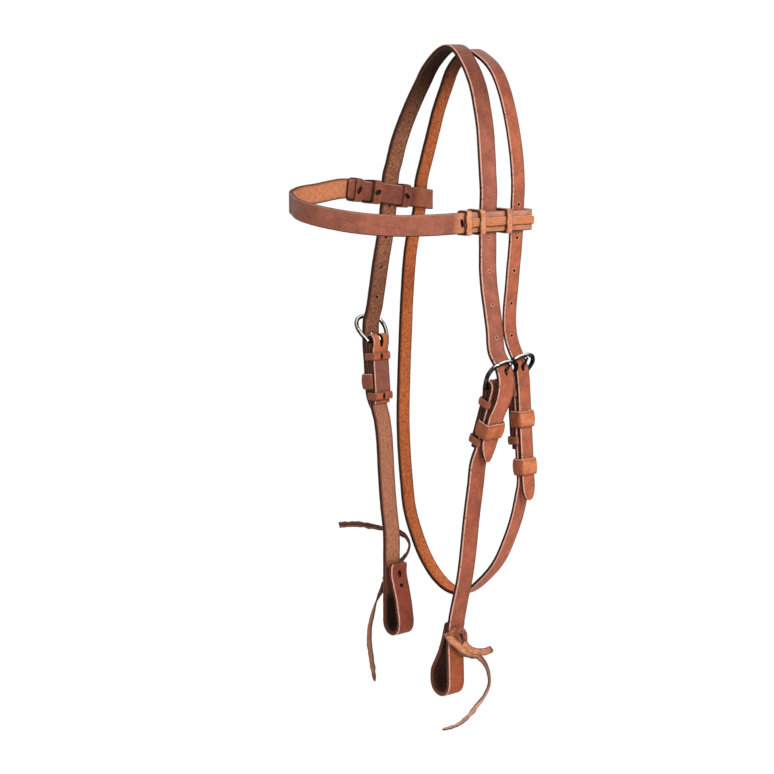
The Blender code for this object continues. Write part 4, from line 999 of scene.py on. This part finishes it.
# Half the frame: how far up, then how much of the bulge, or of the whole half width
bulgeShares = ((0.0, 0.0), (0.12, 0.35), (0.35, 0.85), (0.58, 1.0), (0.78, 0.62))
archShares = ((0.92, 0.66), (0.985, 0.34))
coilSize = {"degrees": 290, "steps": 30}


def taperedPin(share):
    return 1.0 if share < 0.9 else 1.0 - 3.0 * (share - 0.9)


def makeBuckle(name):
    buckle = buckles[name]
    turn = rakedSeat(buckle)
    height = buckle["height"]
    heel = leathers[buckle["leather"]][0] / 2 + gap + wireSize["frame"] / 2
    half = [Vector((0.0, heel + wireSize["bulge"] * bulge, height * up)) for up, bulge in bulgeShares]
    half += [Vector((0.0, (heel + wireSize["bulge"]) * spread, height * up)) for up, spread in archShares]
    outline = half + [Vector((0.0, 0.0, height))] + [Vector((p.x, -p.y, p.z)) for p in reversed(half)]
    points = [turn @ p for p in smoothRoute(outline, 6.0, 0.0015)]
    base = [points[-1].lerp(points[0], share) for share in (0.25, 0.5, 0.75)]
    rim = wirePiece("buckleFrame_" + name, points + base, wireSize["frame"] / 2, True)
    start, tip, root, leave = tongueEnds(buckle)
    coil = []
    for step in range(coilSize["steps"] + 1):
        angle = leave - math.radians(coilSize["degrees"]) * (1 - step / coilSize["steps"])
        coil.append(Vector((root * math.cos(angle), 0.0, root * math.sin(angle))))
    coil += [coil[-1].lerp(tip, share) for share in (0.2, 0.4, 0.6, 0.8, 0.93, 1.0)]
    pin = wirePiece("buckleTongue_" + name, [turn @ p for p in coil], wireSize["tongue"] / 2, False, taperedPin)
    for thing, part in ((rim, "frame"), (pin, "tongue")):
        belongs(thing, "%s_%s_body" % (name, part), "%s_buckle_%s" % (name, part))


for name in buckles:
    makeBuckle(name)
print("buckles made")

# The browband, folded into a pocket at each end
brow = {"nearZ": -0.1285, "offZ": -0.1166, "reach": 0.1320, "nearEnd": 0.0500, "offEnd": 0.0575,
        "nearSlope": 0.015, "offSlope": 0.145, "pocket": leathers["crown"][1] / 2 + 0.0011 + leathers["brow"][1] / 2,
        "slit": (0.0032, 0.0068), "slitTilt": 12.0, "nearThroatY": 0.0122, "offThroatY": 0.0172,
        "nearSlack": 0.0045, "offSlack": 0.0018, "laceGap": 0.0001}
browShares = ((1.0, 0.45, 0.0), (0.955, 0.60, 0.0), (0.80, 0.74, 0.0), (0.48, 0.92, 0.11), (0.15, 0.975, 0.21),
              (-0.22, 0.99, 0.325), (-0.56, 0.955, 0.425), (-0.85, 0.88, 0.51), (-1.0, 0.84, 0.60),
              (-1.095, 0.73, 0.76), (-1.09, 0.62, 0.83))
browWraps = {"near": (0.0440, 0.0300, 0.0026), "off": (0.0475, 0.0330, 0.0024)}
browLaceWidths = {"near": 0.0062, "off": 0.0076}
browSlits = {"near": ((0.0030, 0.0014, 0.0),) * 3,
             "off": ((0.0038, 0.0072, -30.0), (0.0064, 0.0042, 30.0), (0.0062, 0.0038, -28.0))}
thong = {"width": 0.0068, "thick": 0.0016, "round": 0.0005, "crown": 0.0002, "rough": (0.0003, 0.0006),
         "short": 0.0028}


def foldMiddle(throatY, slack):
    return throatY + leathers["throat"][0] / 2 + 2 * gap - brow["pocket"] / 2 + slack


def foldPlaces(middle, y):
    pocket = brow["pocket"]
    return [(middle + pocket * math.sin(math.radians(a)), y + pocket * math.cos(math.radians(a)))
            for a in range(-90, 91, 30)]


def makeBrowband():
    thick, pocket = leathers["brow"][1], brow["pocket"]
    shut = thick + gap
    nearSpread, offSpread = crown["nearSpread"], crown["offSpread"]
    front = -crown["forward"] - leathers["crown"][0] / 2
    nearOut, offOut = nearSpread + pocket, offSpread + pocket
    plan = [(nearOut - shut, -brow["nearEnd"]), (nearOut - shut, -0.8 * brow["nearEnd"]),
            (nearSpread - pocket, front - 2 * gap), (nearSpread - pocket, front + leathers["crown"][0] / 2),
            (nearSpread - pocket, 0.0)]
    plan += foldPlaces(nearSpread, foldMiddle(brow["nearThroatY"], brow["nearSlack"]))
    plan += [(nearOut, 0.0), (nearOut, front), (nearOut, -brow["nearEnd"])]
    offPlan = [(-offOut, -brow["offEnd"]), (-offOut, -0.7 * brow["offEnd"]), (-offOut, front), (-offOut, 0.0)]
    offPlan += foldPlaces(-offSpread, foldMiddle(brow["offThroatY"], brow["offSlack"]))
    offPlan += [(pocket - offSpread, 0.0), (pocket - offSpread, front + leathers["crown"][0] / 2),
                (pocket - offSpread, front - 4 * gap), (shut - offOut, -0.7 * brow["offEnd"]),
                (shut - offOut, -brow["offEnd"])]
    places = [Vector((x, y, brow["nearZ"] - brow["nearSlope"] * y)) for x, y in plan]
    low = places[-1].z
    climb = brow["offZ"] + brow["offSlope"] * brow["offEnd"] - low
    for out, ahead, up in browShares:
        places.append(Vector((out * (nearOut if out > 0 else offOut), -ahead * brow["reach"], low + climb * up)))
    places += [Vector((x, y, brow["offZ"] - brow["offSlope"] * y)) for x, y in offPlan]
    piece = bandOn("browbandLeather", smoothRoute(places), "brow", finishes["brow"], upright, 1, tips=(cutEnd, cutEnd),
                   seed=12.0)
    wide, tall = brow["slit"]
    ahead = -browWraps["near"][0] - browLaceSize["width"] / 2 - wide / 2
    place = Matrix.Translation((nearOut + thick / 2, ahead, brow["nearZ"] - brow["nearSlope"] * ahead)) \
        @ Matrix.Rotation(math.radians(brow["slitTilt"]), 4, "X") @ layDown
    cutWith(piece, [slotPeg("browSlitPeg", place, tall, wide, thick * 1.2)])
    belongs(piece, "browband_set", "browband")


def lacedEnd(name, side, spread, level, slope, rear):
    thick, pocket = leathers["brow"][1], brow["pocket"]
    out = spread + pocket
    thongX = out + thick / 2 + gap + thong["thick"] / 2
    front = -crown["forward"] - leathers["crown"][0] / 2
    for number, ahead in enumerate(browWraps[name]):
        inner = (out - thick - gap if number == 0 else spread - pocket) - thick / 2 - gap
        outer = thongX + thong["thick"] / 2 + gap
        tilt = Matrix.Rotation(-math.atan(slope) - math.pi / 2, 4, "X")
        at = Matrix.Translation((0.0, -ahead, level + slope * ahead)) @ tilt
        edge = leathers["brow"][0] / 2 + brow["laceGap"]
        low, high = sorted((side * inner, side * outer))
        size = dict(browLaceSize, width=browLaceWidths[name])
        slit = (side * (inner - laceSize["thick"] / 2), 0.0, *browSlits[name][number])
        wrapRound("browLace_%s_%d" % (name, number + 1), at, (low, -edge), (high, edge), size, finishes["lace"],
                  "browband_set", "%s_browband_lace_%d" % (name, number + 1),
                  seed=number * 3.3 + side, slit=slit)
    ends = (-browWraps[name][0] - browLaceSize["width"] / 2, front, 0.0, rear)
    points = smoothRoute([Vector((side * thongX, y, level - slope * y)) for y in ends])
    profile = bandProfile(thong["width"], thong["thick"], thong["round"], thong["crown"])
    piece = sweepBand("browThong_" + name, points, profile, upright, finishes["thong"], outward=-side,
                      rough=thong["rough"], seed=20.0 + side, tips=(cutEnd, cutEnd))
    belongs(piece, "browband_set", name + "_browband_thong")


makeBrowband()
tail = brow["pocket"] + leathers["brow"][1] / 2 - thong["short"]
lacedEnd("near", 1, crown["nearSpread"], brow["nearZ"], brow["nearSlope"],
         foldMiddle(brow["nearThroatY"], brow["nearSlack"]) + tail)
lacedEnd("off", -1, crown["offSpread"], brow["offZ"], brow["offSlope"],
         foldMiddle(brow["offThroatY"], brow["offSlack"]) + tail)
print("browband made")

# The ties of the bit loops: free ends, then the lace through the loop and its knot
tieSize = {"width": 0.0050, "thick": 0.0015, "round": 0.0005, "rough": (0.0003, 0.0006)}
freeEnds = {
    "nearShortTie": {
        "node": "near_tie_short_end", "sizes": (1.30, 1.15), "tip": cutEnd,
        "faces": ((1, -0.2, 0.4), (0.9, -0.2, 0.5), (0.8, -0.3, 0.6)),
        "route": ((0.0389, -0.0236, -0.4632), (0.0394, -0.0221, -0.4648), (0.0402, -0.0192, -0.4680),
                  (0.0408, -0.0160, -0.4703), (0.0414, -0.0110, -0.4722), (0.0421, -0.0055, -0.4735),
                  (0.0428, -0.0005, -0.4735), (0.0436, 0.0035, -0.4720))},
    "nearLongTie": {
        "node": "near_tie_long_end", "sizes": (1.2, 0.50), "tip": (0.0080, pointShares),
        "faces": ((1, -0.2, 0.3), (0.95, 0.0, 0.3), (0.9, 0.38, 0.1), (0.85, 0.45, 0.0), (0.75, 0.0, -0.3),
                  (0.5, 0.1, 0.6), (0.4, 0.1, 0.8), (0.4, 0.0, 0.8)),
        "route": ((0.0378, -0.0263, -0.4675), (0.0371, -0.0240, -0.4700), (0.0371, -0.0205, -0.4725),
                  (0.0374, -0.0150, -0.4748), (0.0382, -0.0090, -0.4768), (0.0396, -0.0045, -0.4800),
                  (0.0415, -0.0015, -0.4850), (0.0435, 0.0002, -0.4930), (0.0448, -0.0005, -0.5010),
                  (0.0450, -0.0050, -0.5085), (0.0440, -0.0130, -0.5161), (0.0420, -0.0202, -0.5239),
                  (0.0400, -0.0283, -0.5289), (0.0380, -0.0370, -0.5307), (0.0370, -0.0435, -0.5307))},
    "offUpperTie": {
        "node": "off_tie_upper_end", "sizes": (0.9, 1.0), "tip": cutEnd,
        "faces": ((-1, 0, 0), (-0.8, -0.4, 0.3), (-0.65, -0.65, 0.35), (0.3, -0.4, 0.7), (0.8, -0.3, 0.5),
                  (0.8, -0.3, 0.5)),
        "route": ((-0.0502, -0.0222, -0.4222), (-0.0503, -0.0185, -0.4193), (-0.0506, -0.0130, -0.4168),
                  (-0.0511, -0.0080, -0.4143), (-0.0520, -0.0035, -0.4105), (-0.0530, -0.0009, -0.4051),
                  (-0.0550, -0.0025, -0.3990), (-0.0570, -0.0070, -0.3950), (-0.0588, -0.0150, -0.3915),
                  (-0.0600, -0.0233, -0.3890), (-0.0620, -0.0336, -0.3860), (-0.0640, -0.0469, -0.3824),
                  (-0.0660, -0.0570, -0.3812), (-0.0670, -0.0642, -0.3808))},
    "offLowerTie": {
        "node": "off_tie_lower_end", "sizes": (1.2, 0.85), "tip": (0.0080, pointShares),
        "faces": ((-1, 0, 0), (-0.3, -1, 0), (0.3, -1, 0), (0.2, -1, 0)),
        "route": ((-0.0502, -0.0295, -0.4317), (-0.0504, -0.0314, -0.4352), (-0.0510, -0.0350, -0.4415),
                  (-0.0522, -0.0380, -0.4485), (-0.0530, -0.0396, -0.4545), (-0.0540, -0.0426, -0.4685),
                  (-0.0540, -0.0433, -0.4804), (-0.0530, -0.0413, -0.4986), (-0.0520, -0.0391, -0.5152))}}


def facing(faces):
    # Turns a flat lace so that its grain looks in these directions, from its start to its end
    def across(share, way):
        spot = min(share, 0.9999) * (len(faces) - 1)
        k = int(spot)
        return way.cross(Vector(faces[k]).lerp(Vector(faces[k + 1]), spot - k)).normalized()
    return across


def freeEnd(name, end):
    points = smoothRoute([Vector(place) for place in end["route"]], 5.0, 0.0012)
    start, finish = end["sizes"]
    profile = bandProfile(tieSize["width"], tieSize["thick"], tieSize["round"], 0.0, 4)
    piece = sweepBand(name, points, profile, facing(end["faces"]), finishes["tie"], rough=tieSize["rough"],
                      seed=len(name), sizes=lambda share: start + (finish - start) * share, tips=(None, end["tip"]))
    belongs(piece, "headstall", end["node"])


for name, end in freeEnds.items():
    freeEnd(name, end)

knots = {
    "near_cheek": (
        (0.0066, ((1, -0.3, 0.3), (1, 0, 0.3), (1, -0.1, 0.4)),
         ((0.0340, -0.0366, -0.4535), (0.0366, -0.0366, -0.4560), (0.0382, -0.0342, -0.4594),
          (0.0393, -0.0303, -0.4634), (0.0401, -0.0250, -0.4680), (0.0406, -0.0188, -0.4714),
          (0.0411, -0.0129, -0.4733), (0.0418, -0.0080, -0.4742))),
        (0.0060, ((1, -0.2, 0.4), (1, 0, 0.5), (1, 0.3, 0)),
         ((0.0362, -0.0362, -0.4572), (0.0371, -0.0350, -0.4540), (0.0376, -0.0318, -0.4521),
          (0.0378, -0.0266, -0.4521), (0.0376, -0.0222, -0.4548), (0.0372, -0.0202, -0.4592),
          (0.0367, -0.0198, -0.4640), (0.0362, -0.0202, -0.4680))),
        (0.0060, ((1, -0.2, 0.5), (1, 0, 0), (1, 0.1, -0.1)),
         ((0.0366, -0.0316, -0.4538), (0.0378, -0.0300, -0.4562), (0.0382, -0.0276, -0.4602),
          (0.0378, -0.0262, -0.4650)))),
    "off_cheek": (
        (0.0052, ((-1, 0, 0), (-1, 0, 0)),
         ((-0.0484, -0.0265, -0.4220), (-0.0496, -0.0240, -0.4235), (-0.0500, -0.0230, -0.4275),
          (-0.0498, -0.0255, -0.4305), (-0.0486, -0.0300, -0.4318))),
        (0.0052, ((-1, 0, 0), (-1, 0, 0)),
         ((-0.0484, -0.0265, -0.4310), (-0.0500, -0.0295, -0.4290), (-0.0504, -0.0280, -0.4255),
          (-0.0500, -0.0240, -0.4228), (-0.0490, -0.0215, -0.4218))))}


tieLoop = {"width": 0.0026, "thick": 0.0014, "rough": (0.0001, 0.0001), "standOff": 0.0013, "dip": 0.0010}
knotSize = {"thick": 0.0015, "round": 0.0005, "crown": 0.0004, "rough": (0.0004, 0.0007)}


def bitTie(name, side, inside):
    # inside is how far the lace stands off the middle of the loop's inner layer
    cheek, thick, y = cheeks[name], leathers["crown"][1], cheekSizes["loopY"]
    outer, dip = side * (cheek["loopX"] + thick / 2 + tieLoop["standOff"]), side * tieLoop["dip"]
    layer = smoothRoute(innerPlaces(cheek, side))
    holes = [cheekSizes[key] - cheek["foot"] for key in ("lowHole", "highHole")]
    depths = [min(layer, key=lambda place: abs(place.z - z)).x - side * inside for z in holes]
    route = [Vector((x, y, z)) for x, z in ((outer, holes[0]), (depths[0] + dip, holes[0]),
                                            (sum(depths) / 2, sum(holes) / 2), (depths[1] + dip, holes[1]),
                                            (outer, holes[1]))]
    profile = bandProfile(tieLoop["width"], tieLoop["thick"], tieSize["round"], 0.0, 3)
    pieces = [sweepBand(name + "TieLoop", smoothRoute(route, 8.0, 0.001), profile, aft, finishes["tie"], outward=side,
                        rough=tieLoop["rough"], seed=31.0)]
    for number, (width, faces, places) in enumerate(knots[name]):
        path = smoothRoute([Vector(place) for place in places], 6.0, 0.0008)
        profile = bandProfile(width, knotSize["thick"], knotSize["round"], knotSize["crown"], 6)
        pieces.append(sweepBand("%sKnot%d" % (name, number), path, profile, facing(faces),
                                finishes["knot" if number else "tie"], rough=knotSize["rough"], seed=40.0 + number))
    for thing in pieces:
        belongs(thing, "headstall", name.replace("cheek", "bit_tie"))


bitTie("near_cheek", 1, 0.0030)
bitTie("off_cheek", -1, 0.0)
print("ties made")

studio = {"floorZ": -0.62, "world": 0.46, "floor": 0.9, "glowShare": 0.9, "glow": 1.07, "aim": (-0.01, -0.03, -0.26)}
lamps = {"keyLamp": {"place": (1.55, -0.35, 0.60), "size": 0.5, "power": 16.5},
         "fillLamp": {"place": (-0.1, -1.7, 0.15), "size": 1.0, "power": 3.5},
         "topLamp": {"place": (-0.5, 1.1, 0.9), "size": 0.8, "power": 4.0}}


def seenRays(tree):
    # 1 where the camera, a reflection or a see-through ray meets it
    path = addNode(tree, "ShaderNodeLightPath")
    seen = reckon(tree, "MAXIMUM", path.outputs["Is Camera Ray"], path.outputs["Is Glossy Ray"])
    return reckon(tree, "MAXIMUM", seen, path.outputs["Is Transmission Ray"])


def makeStudio():
    world = bpy.data.worlds.new("studioWorld")
    scene.world = world
    world.use_nodes = True
    tree = world.node_tree
    tree.nodes.clear()
    lit = addNode(tree, "ShaderNodeBackground", Color=(1.0, 1.0, 1.0), Strength=studio["world"])
    seen = addNode(tree, "ShaderNodeBackground", Color=(1.0, 1.0, 1.0), Strength=1.0)
    mix = addNode(tree, "ShaderNodeMixShader", _0=seenRays(tree), _1=lit.outputs[0], _2=seen.outputs[0])
    tree.links.new(mix.outputs[0], tree.nodes.new("ShaderNodeOutputWorld").inputs[0])

    made, tree, shader = newFinish("paleFloor")
    shader.inputs["Base Color"].default_value = (studio["floor"], studio["floor"], studio["floor"], 1.0)
    shader.inputs["Roughness"].default_value = 0.9
    shader.inputs["Specular IOR Level"].default_value = 0.1
    glow = addNode(tree, "ShaderNodeEmission", Color=(1.0, 1.0, 1.0), Strength=studio["glow"])
    share = times(tree, seenRays(tree), studio["glowShare"])
    mix = addNode(tree, "ShaderNodeMixShader", _0=share, _1=shader.outputs[0], _2=glow.outputs[0])
    tree.links.new(mix.outputs[0], tree.nodes["Material Output"].inputs[0])
    form = bmesh.new()
    bmesh.ops.create_grid(form, x_segments=1, y_segments=1, size=6.0)
    floor = pieceFrom(form, "paleFloor", made)
    floor.location = (0.0, 0.0, studio["floorZ"])

    for label, lamp in lamps.items():
        data = bpy.data.lights.new(label, "AREA")
        data.shape = "DISK"
        data.size = lamp["size"]
        data.energy = lamp["power"]
        light = linked(label, data)
        light.location = lamp["place"]
        light.rotation_euler = (Vector(studio["aim"]) - light.location).to_track_quat("-Z", "Y").to_euler()


makeStudio()
scene.view_settings.view_transform = "Standard"
print("studio made")
